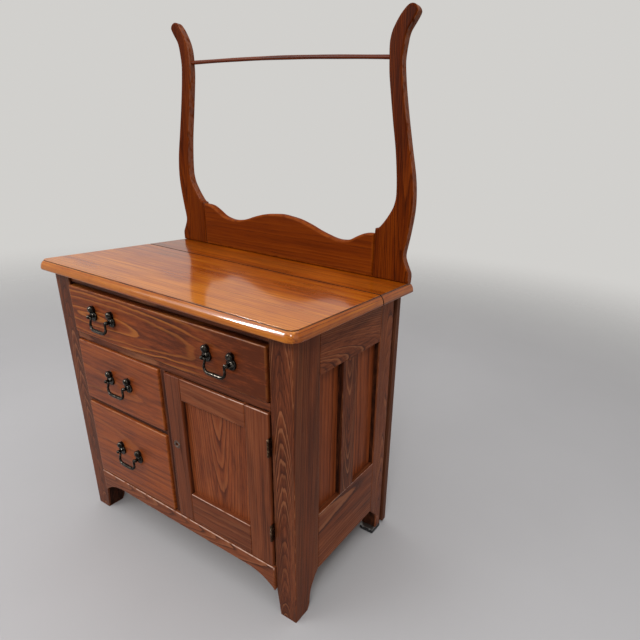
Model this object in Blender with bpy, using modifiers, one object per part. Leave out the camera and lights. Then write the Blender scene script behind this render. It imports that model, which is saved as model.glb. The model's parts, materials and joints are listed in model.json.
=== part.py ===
"""Washstand with a harp towel rail, one long drawer, two short drawers and a cupboard door.

Metres, +Z up, front towards -Y. The origin is on the floor under the middle of the top.
"""

import math

import bmesh
import bpy
from mathutils import Matrix, Vector

# Clearances
GAP = 0.0003
DRAWER_GAP = 0.0025
DOOR_GAP = 0.0030
RUNNING_GAP = 0.0004

# Top
TOP_WIDTH = 0.762
TOP_DEPTH = 0.422
TOP_HEIGHT = 0.6935
TOP_THICK = 0.022
TOP_SIDE_OVERHANG = 0.024
TOP_FRONT_OVERHANG = 0.025
TOP_CORNER = 0.024
TOP_MOULD = 0.0085
BACK_STRIP = 0.134

# Harp and towel bar
HARP_THICK = 0.020
HARP_HEIGHT = 0.5465
HARP_WIDTH = 0.0955
HARP_MARGIN = 0.006
SPLASH_HEIGHT = 0.1125
BAR_HEIGHT = 0.4565
BAR_RADIUS = 0.0047
BAR_SOCKET = 0.010
BAR_BOW = 0.006

# Posts and feet
CARCASS_DEPTH = 0.3855
POST_WIDTH = 0.0545
POST_DEPTH = 0.077
FOOT_DEPTH = 0.047
FOOT_TAPER = 0.0105
FOOT_TAPER_HEIGHT = 0.078
REAR_POST_WIDTH = 0.044
REAR_POST_DEPTH = 0.0535
REAR_FOOT_DEPTH = 0.0205
REBATE_WIDTH = 0.0175
REBATE_DEPTH = 0.015
PAD_WIDTH = 0.042
PAD_DEPTH = 0.040
PAD_HEIGHT = 0.0125

# Sides and back
SIDE_THICK = 0.024
SIDE_RAIL_BASE = 0.093
SIDE_BOTTOM_RAIL = 0.150
SIDE_TOP_RAIL = 0.0975
MUNTIN_WIDTH = 0.050
MUNTIN_OFFSET = 0.078
PANEL_THICK = 0.006
PANEL_TONGUE = 0.007
SIDE_RECESS = 0.0135
BACK_THICK = 0.0165
BACK_FOOT = 0.006
BACK_ARCH = 0.110

# Front frame and inside
FRONT_RAIL_HEIGHT = 0.0225
FRONT_RAIL_DEPTH = 0.030
DIVIDER_HEIGHT = 0.0175
DIVIDER_DEPTH = 0.060
RUNNER_WIDTH = 0.040
PARTITION_WIDTH = 0.0155
PARTITION_RIGHT = 0.0055
SHELF_THICK = 0.010
BOTTOM_TOP = 0.134
BOTTOM_THICK = 0.016
APRON_TOP = 0.132
APRON_BASE = 0.098
APRON_BRACKET = 0.030
APRON_THICK = 0.018
APRON_GAP = 0.001

# Drawers and door
PROUD = 0.005
FRONT_THICK = 0.020
LONG_DRAWER_HEIGHT = 0.1125
UPPER_DRAWER_HEIGHT = 0.1535
DRAWER_HEAD = 0.0047
LIFT = 0.0015
FRONT_BASE = 0.137
BOX_WALL = 0.010
BOX_BOTTOM = 0.006
BOX_INSET = 0.006
BOX_DROP = 0.010
DRAWER_STOP = 0.019
DOOR_THICK = 0.020
DOOR_SIDE_GAP = 0.0015
DOOR_TOP_GAP = 0.003
LEFT_STILE = 0.048
RIGHT_STILE = 0.061
DOOR_TOP_RAIL = 0.052
DOOR_BOTTOM_RAIL = 0.078
DOOR_RECESS = 0.010

# Hardware
PULL_INSET = 0.118
PULL_SPACING = 0.066
PULL_BALL = 0.0046
PULL_STAND = 0.0125
PULL_BOSS_RISE = 0.0155
BAIL_RADIUS = 0.0022
BAIL_PIN = 0.0015
BAIL_GRIP = 0.0035
BAIL_DROP = 0.0272
BAIL_HOLE = 0.0035
HINGE_HEIGHT = 0.042
HINGE_LEAF = 0.0008
HINGE_BARREL = 0.0032
HINGE_PIN = 0.0012
HINGE_DEPTH = 0.016
HINGE_STAND = 0.0035
UPPER_HINGE_DROP = 0.073
LOWER_HINGE_RISE = 0.0925
KEY_RISE = 0.201
KEY_INSET = 0.018
KEY_RING = 0.010
KEY_HOLE = 0.0047
KEY_RING_THICK = 0.0015
KEY_DEPTH = 0.012

# Softened edges
EDGE = 0.0007
DRAWER_EDGE = 0.0022
DOOR_EDGE = 0.0014

# Derived places
half = TOP_WIDTH / 2 - TOP_SIDE_OVERHANG
front = -TOP_DEPTH / 2 + TOP_FRONT_OVERHANG
rear = front + CARCASS_DEPTH
back_face = rear - BACK_THICK
carcass_top = TOP_HEIGHT - TOP_THICK - GAP
post_in = half - POST_WIDTH
side_in = half - SIDE_THICK
rear_post_in = half - REAR_POST_WIDTH
rear_post_front = back_face - GAP - REBATE_WIDTH - REAR_POST_DEPTH
harp_rear = TOP_DEPTH / 2
harp_front = harp_rear - HARP_THICK
face = front - PROUD
partition_left = PARTITION_RIGHT - PARTITION_WIDTH
harp_joint = TOP_WIDTH / 2 - HARP_MARGIN - HARP_WIDTH
long_top = carcass_top - FRONT_RAIL_HEIGHT - DRAWER_HEAD
long_base = long_top - LONG_DRAWER_HEIGHT
divider_top = long_base - LIFT
divider_base = divider_top - DIVIDER_HEIGHT
shelf_top = divider_base - UPPER_DRAWER_HEIGHT - 2 * LIFT
shelf_base = shelf_top - SHELF_THICK
door_left = PARTITION_RIGHT + DOOR_SIDE_GAP
door_right = post_in - DOOR_GAP
door_top = divider_base - DOOR_TOP_GAP
hinge_axis = Vector((post_in - DOOR_GAP / 2, face - HINGE_STAND, 0))


def clear_scene():
    for obj in list(bpy.data.objects):
        bpy.data.objects.remove(obj)


def new_collection(name):
    made = bpy.data.collections.new(name)
    bpy.context.scene.collection.children.link(made)
    return made


def new_material(name, colour, roughness, metallic=0.0):
    made = bpy.data.materials.new(name)
    made.use_nodes = True
    shader = made.node_tree.nodes["Principled BSDF"]
    shader.inputs["Base Color"].default_value = (*colour, 1)
    shader.inputs["Roughness"].default_value = roughness
    shader.inputs["Metallic"].default_value = metallic
    return made


def add(name, data, material):
    """A visible piece, or a cutter when it has no material."""
    made = bpy.data.objects.new(name, data)
    if material is None:
        cutters.objects.link(made)
        made.hide_render = True
        made.display_type = "WIRE"
    else:
        parts.objects.link(made)
        data.materials.append(material)
    return made


def set_origin(obj, origin):
    obj.data.transform(Matrix.Translation(-Vector(origin)))
    obj.location = origin


def soften(obj, width, segments=2):
    bevel = obj.modifiers.new("Soft edges", "BEVEL")
    bevel.width = width
    bevel.segments = segments
    bevel.limit_method = "ANGLE"
    bevel.angle_limit = math.radians(40)


def boolean(target, other, operation):
    step = target.modifiers.new(other.name, "BOOLEAN")
    step.object = other
    step.operation = operation
    step.solver = "EXACT"


def box_mesh(name, low, high):
    low, high = Vector(low), Vector(high)
    data = bpy.data.meshes.new(name)
    bm = bmesh.new()
    bmesh.ops.create_cube(bm, size=1)
    bmesh.ops.scale(bm, vec=high - low, verts=bm.verts)
    bmesh.ops.translate(bm, vec=(low + high) / 2, verts=bm.verts)
    bm.to_mesh(data)
    bm.free()
    return data


def board(name, low, high, material, edge=EDGE, segments=1):
    """A sawn board between two corners, with softened arrises."""
    made = add(name, box_mesh(name, low, high), material)
    soften(made, edge, segments)
    return made


def cutter_box(name, low, high):
    return add(name, box_mesh(name, low, high), None)


def cylinder(name, radius, centre, length, axis, material=None, segments=20):
    data = bpy.data.meshes.new(name)
    bm = bmesh.new()
    bmesh.ops.create_cone(
        bm, cap_ends=True, segments=segments, radius1=radius, radius2=radius, depth=length
    )
    turn = Vector((0, 0, 1)).rotation_difference(Vector(axis)).to_matrix()
    bmesh.ops.rotate(bm, matrix=turn, verts=bm.verts)
    bmesh.ops.translate(bm, vec=centre, verts=bm.verts)
    bm.to_mesh(data)
    bm.free()
    return add(name, data, material)


# Turns of a flat outline: its own X and Y become these world axes, and its thickness the third
UPRIGHT_X = (math.pi / 2, 0, 0)
UPRIGHT_Y = (math.pi / 2, 0, math.pi / 2)
LYING = (0, 0, 0)


def plate(name, outline, thickness, turn, location, material):
    """A flat outline of even thickness, meshed so that it can be cut."""
    curve = bpy.data.curves.new(name, "CURVE")
    curve.dimensions = "2D"
    curve.fill_mode = "BOTH"
    curve.extrude = thickness / 2
    spline = curve.splines.new("POLY")
    spline.points.add(len(outline) - 1)
    for point, (u, v) in zip(spline.points, outline):
        point.co = (u, v, 0, 1)
    spline.use_cyclic_u = True
    drawn = bpy.data.objects.new(name + "_outline", curve)
    data = bpy.data.meshes.new_from_object(drawn)
    bpy.data.objects.remove(drawn)
    bm = bmesh.new()
    bm.from_mesh(data)
    bmesh.ops.remove_doubles(bm, verts=bm.verts, dist=0.00005)
    bmesh.ops.recalc_face_normals(bm, faces=bm.faces)
    bmesh.ops.dissolve_limit(
        bm, angle_limit=math.radians(0.5), verts=bm.verts, edges=bm.edges
    )
    bm.to_mesh(data)
    bm.free()
    made = add(name, data, material)
    made.rotation_euler = turn
    made.location = location
    return made


def rounded(points, steps=3):
    """The points with a smooth curve through them (Catmull-Rom)."""
    ends = [points[0], *points, points[-1]]
    made = []
    for a, b, c, d in zip(ends, ends[1:], ends[2:], ends[3:]):
        for k in range(steps):
            t = k / steps
            made.append(
                tuple(
                    0.5
                    * (
                        2 * q
                        + (r - p) * t
                        + (2 * p - 5 * q + 4 * r - s) * t**2
                        + (3 * q - p - 3 * r + s) * t**3
                    )
                    for p, q, r, s in zip(a, b, c, d)
                )
            )
    return made + [points[-1]]


def turned(name, profile, material, location, steps=16):
    """A shape turned about the line from its location towards -Y; profile is (radius, height)."""
    data = bpy.data.meshes.new(name)
    bm = bmesh.new()
    verts = [bm.verts.new((radius, 0, height)) for radius, height in profile]
    for a, b in zip(verts, verts[1:]):
        bm.edges.new((a, b))
    bm.to_mesh(data)
    bm.free()
    made = add(name, data, material)
    screw = made.modifiers.new("Turn", "SCREW")
    screw.steps = steps
    screw.render_steps = steps
    screw.use_merge_vertices = True
    screw.merge_threshold = 0.00005
    made.rotation_euler = (math.pi / 2, 0, 0)
    made.location = location
    return made


def rod(name, path, radii, material, location, sides=2):
    """A bent rod through path, with its own radius at each point."""
    curve = bpy.data.curves.new(name, "CURVE")
    curve.dimensions = "3D"
    curve.bevel_depth = 1.0
    curve.bevel_resolution = sides
    curve.use_fill_caps = True
    spline = curve.splines.new("POLY")
    spline.points.add(len(path) - 1)
    for point, place, radius in zip(spline.points, path, radii):
        point.co = (*place, 1)
        point.radius = radius
    made = add(name, curve, material)
    made.location = location
    return made


def moulded_board(name, y_low, y_high, corner, material):
    """A board of the top: the moulding runs along its ends, and its front when it has corners."""
    bottom = TOP_HEIGHT - TOP_THICK
    section = [
        (0.25, 0.0),
        (0.06, 0.06),
        (0.0, 0.16),
        (0.06, 0.38),
        (0.24, 0.62),
        (0.52, 0.82),
        (0.86, 0.93),
        (0.96, 0.945),
        (1.0, 1.0),
    ]
    bm = bmesh.new()
    rings = []
    for inset, rise in section:
        inset *= TOP_MOULD
        x = TOP_WIDTH / 2 - inset
        z = bottom + rise * TOP_THICK
        outline = [(x, y_high)]
        if corner:
            radius = corner - inset
            for turn in (0, 1):
                for k in range(7):
                    angle = -math.pi / 2 * (turn + k / 6)
                    centre = x - radius if turn == 0 else radius - x
                    outline.append(
                        (centre + radius * math.cos(angle), y_low + corner + radius * math.sin(angle))
                    )
        else:
            outline += [(x, y_low), (-x, y_low)]
        outline.append((-x, y_high))
        rings.append([bm.verts.new((u, v, z)) for u, v in outline])
    count = len(rings[0])
    for below, above in zip(rings, rings[1:]):
        for k in range(count):
            n = (k + 1) % count
            bm.faces.new((below[k], below[n], above[n], above[k]))
    bm.faces.new(rings[0])
    bm.faces.new(rings[-1])
    bmesh.ops.recalc_face_normals(bm, faces=bm.faces)
    data = bpy.data.meshes.new(name)
    bm.to_mesh(data)
    bm.free()
    return add(name, data, material)


def framed_panel(name, low, high, material, neighbours):
    """A panel whose edges stand in grooves cut into its neighbours."""
    made = board(name, low, high, material, EDGE)
    slack = Vector((GAP, GAP, GAP))
    groove = cutter_box(name + "_groove", Vector(low) - slack, Vector(high) + slack)
    for neighbour in neighbours:
        boolean(neighbour, groove, "DIFFERENCE")
    return made


def build_top():
    seam = TOP_DEPTH / 2 - BACK_STRIP
    moulded_board("top_front_board", -TOP_DEPTH / 2, seam - GAP, TOP_CORNER, top_wood)
    moulded_board("top_back_board", seam + GAP, TOP_DEPTH / 2, 0, top_wood)


def build_harp():
    base = TOP_HEIGHT + GAP
    # Outline of the right post, as shares of its width and height
    inner = [
        (0.005, 0.0000),
        (0.005, 0.1967),
        (0.015, 0.2095),
        (0.110, 0.2150),
        (0.257, 0.2425),
        (0.371, 0.2662),
        (0.482, 0.2955),
        (0.534, 0.3211),
        (0.560, 0.3522),
        (0.539, 0.4199),
        (0.471, 0.5169),
        (0.366, 0.6139),
        (0.283, 0.6962),
        (0.204, 0.7823),
        (0.194, 0.8353),
        (0.215, 0.8866),
        (0.315, 0.9396),
        (0.414, 0.9671),
    ]
    tip = [(0.487, 0.9881), (0.555, 0.9982), (0.638, 0.9991), (0.733, 0.9909), (0.780, 0.9744)]
    outer = [
        (0.769, 0.9680),
        (0.565, 0.9195),
        (0.507, 0.8847),
        (0.477, 0.8353),
        (0.487, 0.8005),
        (0.539, 0.7383),
        (0.613, 0.6706),
        (0.686, 0.6102),
        (0.801, 0.5206),
        (0.926, 0.4254),
        (0.979, 0.3431),
        (0.969, 0.2754),
        (0.895, 0.1839),
        (0.832, 0.1217),
        (0.853, 0.0942),
        (0.937, 0.0631),
        (1.000, 0.0393),
        (1.000, 0.0000),
    ]
    shape = inner[:2] + rounded(inner[2:] + tip + outer[:-2], 2) + outer[-2:]
    shape = [(harp_joint + u * HARP_WIDTH, v * HARP_HEIGHT) for u, v in shape]
    middle = harp_front + HARP_THICK / 2
    bar_in = harp_joint + inner[14][0] * HARP_WIDTH
    bar_z = TOP_HEIGHT + BAR_HEIGHT
    for side, sign in (("left", -1), ("right", 1)):
        outline = [(sign * u, v) for u, v in shape]
        post = plate("harp_post_" + side, outline, HARP_THICK, UPRIGHT_X, (0, middle, base), dark_wood)
        soften(post, 0.0016)
        length = BAR_SOCKET + 0.010
        place = (sign * (bar_in + BAR_SOCKET - length / 2), middle, bar_z)
        hole = cylinder("bar_socket_" + side, BAR_RADIUS + GAP, place, length, (1, 0, 0))
        boolean(post, hole, "DIFFERENCE")
    wave = [
        (0.0, 1.0),
        (0.18, 0.956),
        (0.32, 0.867),
        (0.46, 0.751),
        (0.61, 0.698),
        (0.735, 0.751),
        (0.83, 0.876),
        (0.91, 0.960),
        (1.0, 0.982),
    ]
    crest = rounded(wave, 3)
    crest = [(-u, v) for u, v in reversed(crest[1:])] + crest
    end = harp_joint - GAP
    outline = [(-end, 0)] + [(u * end, v * SPLASH_HEIGHT) for u, v in crest] + [(end, 0)]
    splash = plate("backsplash", outline, HARP_THICK, UPRIGHT_X, (0, middle, base), dark_wood)
    soften(splash, 0.0016)
    reach = bar_in + BAR_SOCKET - GAP
    seat = bar_in - 0.002
    spread = [-1, -0.75, -0.5, -0.25, 0, 0.25, 0.5, 0.75, 1]
    path = [(u * seat, 0, BAR_BOW * math.cos(u * math.pi / 2)) for u in spread]
    path = [(-reach, 0, 0)] + path + [(reach, 0, 0)]
    rod("towel_bar", path, [BAR_RADIUS] * len(path), dark_wood, (0, middle, bar_z), 3)


def build_posts():
    spread = POST_DEPTH - FOOT_DEPTH
    bracket = [(1.0, 1.0), (0.62, 0.86), (0.25, 0.66), (0.07, 0.50), (0.01, 0.38), (-0.04, 0.16)]
    heel = [(FOOT_DEPTH + u * spread, v * SIDE_RAIL_BASE) for u, v in rounded(bracket, 2)]
    outline = [(0, 0), (0, FOOT_TAPER_HEIGHT), (0, carcass_top), (POST_DEPTH, carcass_top)]
    outline += heel + [(FOOT_DEPTH - 0.008, 0)]
    made = {}
    for side, sign in (("left", -1), ("right", 1)):
        place = (sign * (half - POST_WIDTH / 2), front, 0)
        post = plate("front_post_" + side, outline, POST_WIDTH, UPRIGHT_Y, place, frame_wood)
        soften(post, EDGE, 1)
        # The inner face of the foot leans out towards the floor
        lean = cutter_box(
            "foot_lean_" + side,
            (-0.05, front - 0.01, -0.12),
            (0, front + POST_DEPTH + 0.01, FOOT_TAPER_HEIGHT),
        )
        set_origin(lean, (0, 0, FOOT_TAPER_HEIGHT))
        lean.location = (sign * post_in, 0, FOOT_TAPER_HEIGHT)
        lean.scale = (sign, 1, 1)
        lean.rotation_euler = (0, -sign * math.atan2(FOOT_TAPER, FOOT_TAPER_HEIGHT), 0)
        boolean(post, lean, "DIFFERENCE")
        made["front_" + side] = post

    depth = back_face - GAP - rear_post_front
    foot = REAR_POST_DEPTH - REAR_FOOT_DEPTH
    foot_z = PAD_HEIGHT + GAP
    bracket = [(0.0, 1.0), (0.42, 0.82), (0.80, 0.68), (0.97, 0.52), (1.0, 0.30)]
    toe = [(u * foot, v * SIDE_RAIL_BASE) for u, v in rounded(bracket, 2)]
    outline = [(depth, carcass_top), (0, carcass_top)] + toe
    outline += [(foot, foot_z), (depth, foot_z)]
    for side, sign in (("left", -1), ("right", 1)):
        place = (sign * (half - REAR_POST_WIDTH / 2), rear_post_front, 0)
        post = plate("rear_post_" + side, outline, REAR_POST_WIDTH, UPRIGHT_Y, place, frame_wood)
        soften(post, EDGE, 1)
        edges = sorted((sign * (half - REBATE_DEPTH), sign * (half + 0.01)))
        rebate = cutter_box(
            "rebate_" + side,
            (edges[0], rear_post_front + REAR_POST_DEPTH, -0.01),
            (edges[1], back_face + 0.01, carcass_top + 0.01),
        )
        boolean(post, rebate, "DIFFERENCE")
        made["rear_" + side] = post
        edges = sorted((sign * (half - PAD_WIDTH), sign * half))
        pad_back = rear_post_front + REAR_POST_DEPTH + 0.005
        board(
            "rear_pad_" + side,
            (edges[0], pad_back - PAD_DEPTH, 0),
            (edges[1], pad_back, PAD_HEIGHT),
            rubber,
            0.0015,
            2,
        )
    return made


def build_sides(posts):
    y_low = front + POST_DEPTH
    y_high = rear_post_front
    rail_top = SIDE_RAIL_BASE + SIDE_BOTTOM_RAIL
    rail_base = carcass_top - SIDE_TOP_RAIL
    split = (y_low + MUNTIN_OFFSET, y_low + MUNTIN_OFFSET + MUNTIN_WIDTH)
    for side, sign in (("left", -1), ("right", 1)):
        a, b = sorted((sign * side_in, sign * half))
        top_rail = board(
            "side_top_rail_" + side,
            (a, y_low + GAP, rail_base),
            (b, y_high - GAP, carcass_top),
            frame_wood,
        )
        bottom_rail = board(
            "side_bottom_rail_" + side,
            (a, y_low + GAP, SIDE_RAIL_BASE),
            (b, y_high - GAP, rail_top),
            frame_wood,
        )
        muntin = board(
            "side_muntin_" + side,
            (a, split[0], rail_top + GAP),
            (b, split[1], rail_base - GAP),
            frame_wood,
        )
        a, b = sorted(sign * (half - SIDE_RECESS - t) for t in (0, PANEL_THICK))
        z_low, z_high = rail_top - PANEL_TONGUE, rail_base + PANEL_TONGUE
        framed_panel(
            "side_front_panel_" + side,
            (a, y_low - PANEL_TONGUE, z_low),
            (b, split[0] + PANEL_TONGUE, z_high),
            panel_wood,
            (posts["front_" + side], muntin, top_rail, bottom_rail),
        )
        framed_panel(
            "side_rear_panel_" + side,
            (a, split[1] - PANEL_TONGUE, z_low),
            (b, y_high + PANEL_TONGUE, z_high),
            panel_wood,
            (posts["rear_" + side], muntin, top_rail, bottom_rail),
        )


def build_back():
    foot = half - rear_post_in
    arch = [(0.0, 0.0), (0.10, 0.55), (0.35, 0.88), (0.7, 0.98), (1.0, 1.0)]
    run = 0.06
    rise = [
        (rear_post_in - run * u, BACK_FOOT + (BACK_ARCH - BACK_FOOT) * v) for u, v in rounded(arch, 2)
    ]
    right = [(half, BACK_FOOT), (half - foot, BACK_FOOT)] + rise[1:]
    left = [(-u, v) for u, v in reversed(right)]
    outline = [(-half, carcass_top), (half, carcass_top)] + right + left
    place = (0, back_face + BACK_THICK / 2, 0)
    back = plate("back_board", outline, BACK_THICK, UPRIGHT_X, place, inner_wood)
    soften(back, EDGE, 1)


def build_front_frame():
    x = post_in - GAP
    y_back = back_face - GAP
    board(
        "front_top_rail",
        (-x, front + PROUD, carcass_top - FRONT_RAIL_HEIGHT),
        (x, front + PROUD + FRONT_RAIL_DEPTH, carcass_top),
        frame_wood,
    )
    board(
        "divider_rail",
        (-x, front, divider_base),
        (x, front + DIVIDER_DEPTH, divider_top),
        frame_wood,
    )
    for side, sign in (("left", -1), ("right", 1)):
        a, b = sorted((sign * (x - RUNNER_WIDTH), sign * x))
        board(
            "drawer_runner_" + side,
            (a, front + DIVIDER_DEPTH + GAP, divider_base),
            (b, y_back, divider_top),
            inner_wood,
        )
    board(
        "partition",
        (partition_left, front, BOTTOM_TOP + GAP),
        (PARTITION_RIGHT, y_back, divider_base - GAP),
        frame_wood,
    )
    board(
        "short_drawer_shelf",
        (-x, front, shelf_base),
        (partition_left - GAP, y_back, shelf_top),
        frame_wood,
    )
    apron_back = face + APRON_THICK
    post_back = front + POST_DEPTH + GAP
    rear_front = rear_post_front - GAP
    wide = side_in - GAP
    narrow = rear_post_in - GAP
    right = [
        (x, apron_back + GAP),
        (x, post_back),
        (wide, post_back),
        (wide, rear_front),
        (narrow, rear_front),
        (narrow, y_back),
    ]
    outline = right + [(-u, v) for u, v in reversed(right)]
    place = (0, 0, BOTTOM_TOP - BOTTOM_THICK / 2)
    bottom = plate("cupboard_bottom", outline, BOTTOM_THICK, LYING, place, inner_wood)
    soften(bottom, EDGE, 1)

    end = post_in - APRON_GAP
    bracket = [(0.0, 0.0), (0.30, 0.10), (0.55, 0.30), (0.78, 0.60), (1.0, 1.0)]
    sweep = [(end - 0.075 * (1 - u), APRON_BASE - APRON_BRACKET * v) for u, v in rounded(bracket, 2)]
    right = [(end, APRON_TOP)] + list(reversed(sweep))
    outline = right + [(-u, v) for u, v in reversed(right)]
    place = (0, face + APRON_THICK / 2, 0)
    apron = plate("front_apron", outline, APRON_THICK, UPRIGHT_X, place, front_wood)
    soften(apron, 0.0018)


def build_drawer(name, low, high, rest):
    """A drawer front between two corners (x, z) with its box, which slides on the level rest."""
    front_back = face + FRONT_THICK
    board(
        name + "_front",
        (low[0], face, low[1]),
        (high[0], front_back, high[1]),
        front_wood,
        DRAWER_EDGE,
        2,
    )
    box_low = Vector((low[0] + BOX_INSET, front_back + GAP, rest + GAP))
    box_high = Vector((high[0] - BOX_INSET, back_face - DRAWER_STOP, high[1] - BOX_DROP))
    box = board(name + "_box", box_low, box_high, box_wood)
    wall = Vector((BOX_WALL, BOX_WALL, 0))
    cavity = cutter_box(
        name + "_cavity",
        box_low + wall + Vector((0, 0, BOX_BOTTOM)),
        box_high - wall + Vector((0, 0, 0.02)),
    )
    boolean(box, cavity, "DIFFERENCE")


def build_drawers():
    side = post_in - DRAWER_GAP
    build_drawer("long_drawer", (-side, long_base), (side, long_top), divider_top)
    inner = partition_left - DRAWER_GAP
    upper = ((-side, shelf_top + LIFT), (inner, divider_base - LIFT))
    lower = ((-side, FRONT_BASE), (inner, shelf_base - LIFT))
    build_drawer("upper_drawer", *upper, shelf_top)
    build_drawer("lower_drawer", *lower, BOTTOM_TOP)
    long_z = (long_base + long_top) / 2
    short_x = (-side + inner) / 2
    build_pull("long_left_pull", PULL_INSET - side, long_z)
    build_pull("long_right_pull", side - PULL_INSET, long_z)
    build_pull("upper_pull", short_x, (upper[0][1] + upper[1][1]) / 2)
    build_pull("lower_pull", short_x, (lower[0][1] + lower[1][1]) / 2)


def build_pull(name, x, z):
    """Two turned mounts with a boss above each, and a bail that swings in them."""
    r = PULL_BALL
    h = PULL_STAND
    mount = [
        (0, h + r),
        (0.55 * r, h + 0.83 * r),
        (0.9 * r, h + 0.43 * r),
        (r, h),
        (0.9 * r, h - 0.43 * r),
        (0.0032, 0.0080),
        (0.0034, 0.0050),
        (0.0058, 0.0032),
        (0.0092, 0.0030),
        (0.0112, 0.0036),
        (0.0120, 0.0022),
        (0.0120, 0),
        (0, 0),
    ]
    boss = [
        (0, 0.0105),
        (0.0040, 0.0098),
        (0.0066, 0.0076),
        (0.0075, 0.0048),
        (0.0068, 0.0024),
        (0.0072, 0.0002),
        (0, 0.0002),
    ]
    y = face - GAP
    for side, sign in (("left", -1), ("right", 1)):
        at = x + sign * PULL_SPACING / 2
        made = turned(f"{name}_{side}_mount", mount, dark_metal, (at, y, z))
        knob = turned(f"{name}_{side}_boss", boss, None, (at, y, z + PULL_BOSS_RISE))
        boolean(made, knob, "UNION")
        start = at - sign * (r + 0.004)
        end = at + sign * BAIL_HOLE * 0.5
        place = ((start + end) / 2, y - h, z)
        hole = cylinder(
            f"{name}_{side}_hole", BAIL_PIN + RUNNING_GAP, place, abs(end - start), (1, 0, 0), None, 12
        )
        boolean(made, hole, "DIFFERENCE")
    pin_end = PULL_SPACING / 2 + BAIL_HOLE * 0.5 - RUNNING_GAP
    leg = PULL_SPACING / 2 - r - RUNNING_GAP - BAIL_RADIUS
    half_bail = [
        (pin_end, 0, 0, BAIL_PIN),
        (leg + 0.0021, 0, 0, BAIL_PIN),
        (leg + 0.0006, 0, -0.0008, BAIL_RADIUS * 0.85),
        (leg, -0.0002, -0.0040, BAIL_RADIUS),
        (leg + 0.0018, -0.0010, -0.45 * BAIL_DROP, BAIL_RADIUS),
        (leg + 0.0020, -0.0020, -0.70 * BAIL_DROP, BAIL_RADIUS * 1.1),
        (leg - 0.0014, -0.0028, -0.90 * BAIL_DROP, BAIL_RADIUS * 1.25),
        (leg - 0.0070, -0.0034, -0.99 * BAIL_DROP, BAIL_GRIP * 0.9),
        (leg * 0.35, -0.0035, -BAIL_DROP, BAIL_GRIP),
    ]
    points = half_bail + [(-u, v, w, t) for u, v, w, t in reversed(half_bail)]
    path = [(u, v, w) for u, v, w, _ in points]
    radii = [t for _, _, _, t in points]
    rod(name + "_bail", path, radii, dark_metal, (x, y - h, z), 2)


def build_door():
    door_back = face + DOOR_THICK
    stiles = (door_left + LEFT_STILE, door_right - RIGHT_STILE)
    rails = (FRONT_BASE + DOOR_BOTTOM_RAIL, door_top - DOOR_TOP_RAIL)
    pieces = {
        "door_left_stile": ((door_left, FRONT_BASE), (stiles[0], door_top)),
        "door_right_stile": ((stiles[1], FRONT_BASE), (door_right, door_top)),
        "door_top_rail": ((stiles[0] + GAP, rails[1]), (stiles[1] - GAP, door_top)),
        "door_bottom_rail": ((stiles[0] + GAP, FRONT_BASE), (stiles[1] - GAP, rails[0])),
    }
    frame = {}
    for name, (low, high) in pieces.items():
        frame[name] = board(
            name, (low[0], face, low[1]), (high[0], door_back, high[1]), frame_wood, DOOR_EDGE, 2
        )
    panel_y = face + DOOR_RECESS
    panel = framed_panel(
        "door_panel",
        (stiles[0] - PANEL_TONGUE, panel_y, rails[0] - PANEL_TONGUE),
        (stiles[1] + PANEL_TONGUE, panel_y + PANEL_THICK, rails[1] + PANEL_TONGUE),
        panel_wood,
        frame.values(),
    )
    key = (door_left + KEY_INSET, face, FRONT_BASE + KEY_RISE)
    sink = KEY_RING_THICK
    place = (key[0], face + (sink - 0.004) / 2, key[2])
    seat = cylinder("key_seat", KEY_RING + GAP, place, sink + 0.004, (0, 1, 0))
    place = (key[0], face + KEY_DEPTH / 2 - 0.002, key[2])
    hole = cylinder("key_hole", KEY_HOLE, place, KEY_DEPTH, (0, 1, 0))
    boolean(frame["door_left_stile"], seat, "DIFFERENCE")
    boolean(frame["door_left_stile"], hole, "DIFFERENCE")
    ring = [
        (KEY_HOLE, 0.0012),
        (KEY_HOLE + 0.0006, KEY_RING_THICK),
        (KEY_RING - 0.0006, KEY_RING_THICK),
        (KEY_RING, 0.0011),
        (KEY_RING, 0),
        (KEY_HOLE, 0),
        (KEY_HOLE, 0.0012),
    ]
    place = (key[0], face + sink - GAP, key[2])
    turned("keyhole_ring", ring, old_brass, place, 20)
    for obj in (*frame.values(), panel):
        set_origin(obj, hinge_axis)
    build_hinge("upper_hinge", door_top - UPPER_HINGE_DROP)
    build_hinge("lower_hinge", FRONT_BASE + LOWER_HINGE_RISE)


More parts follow.
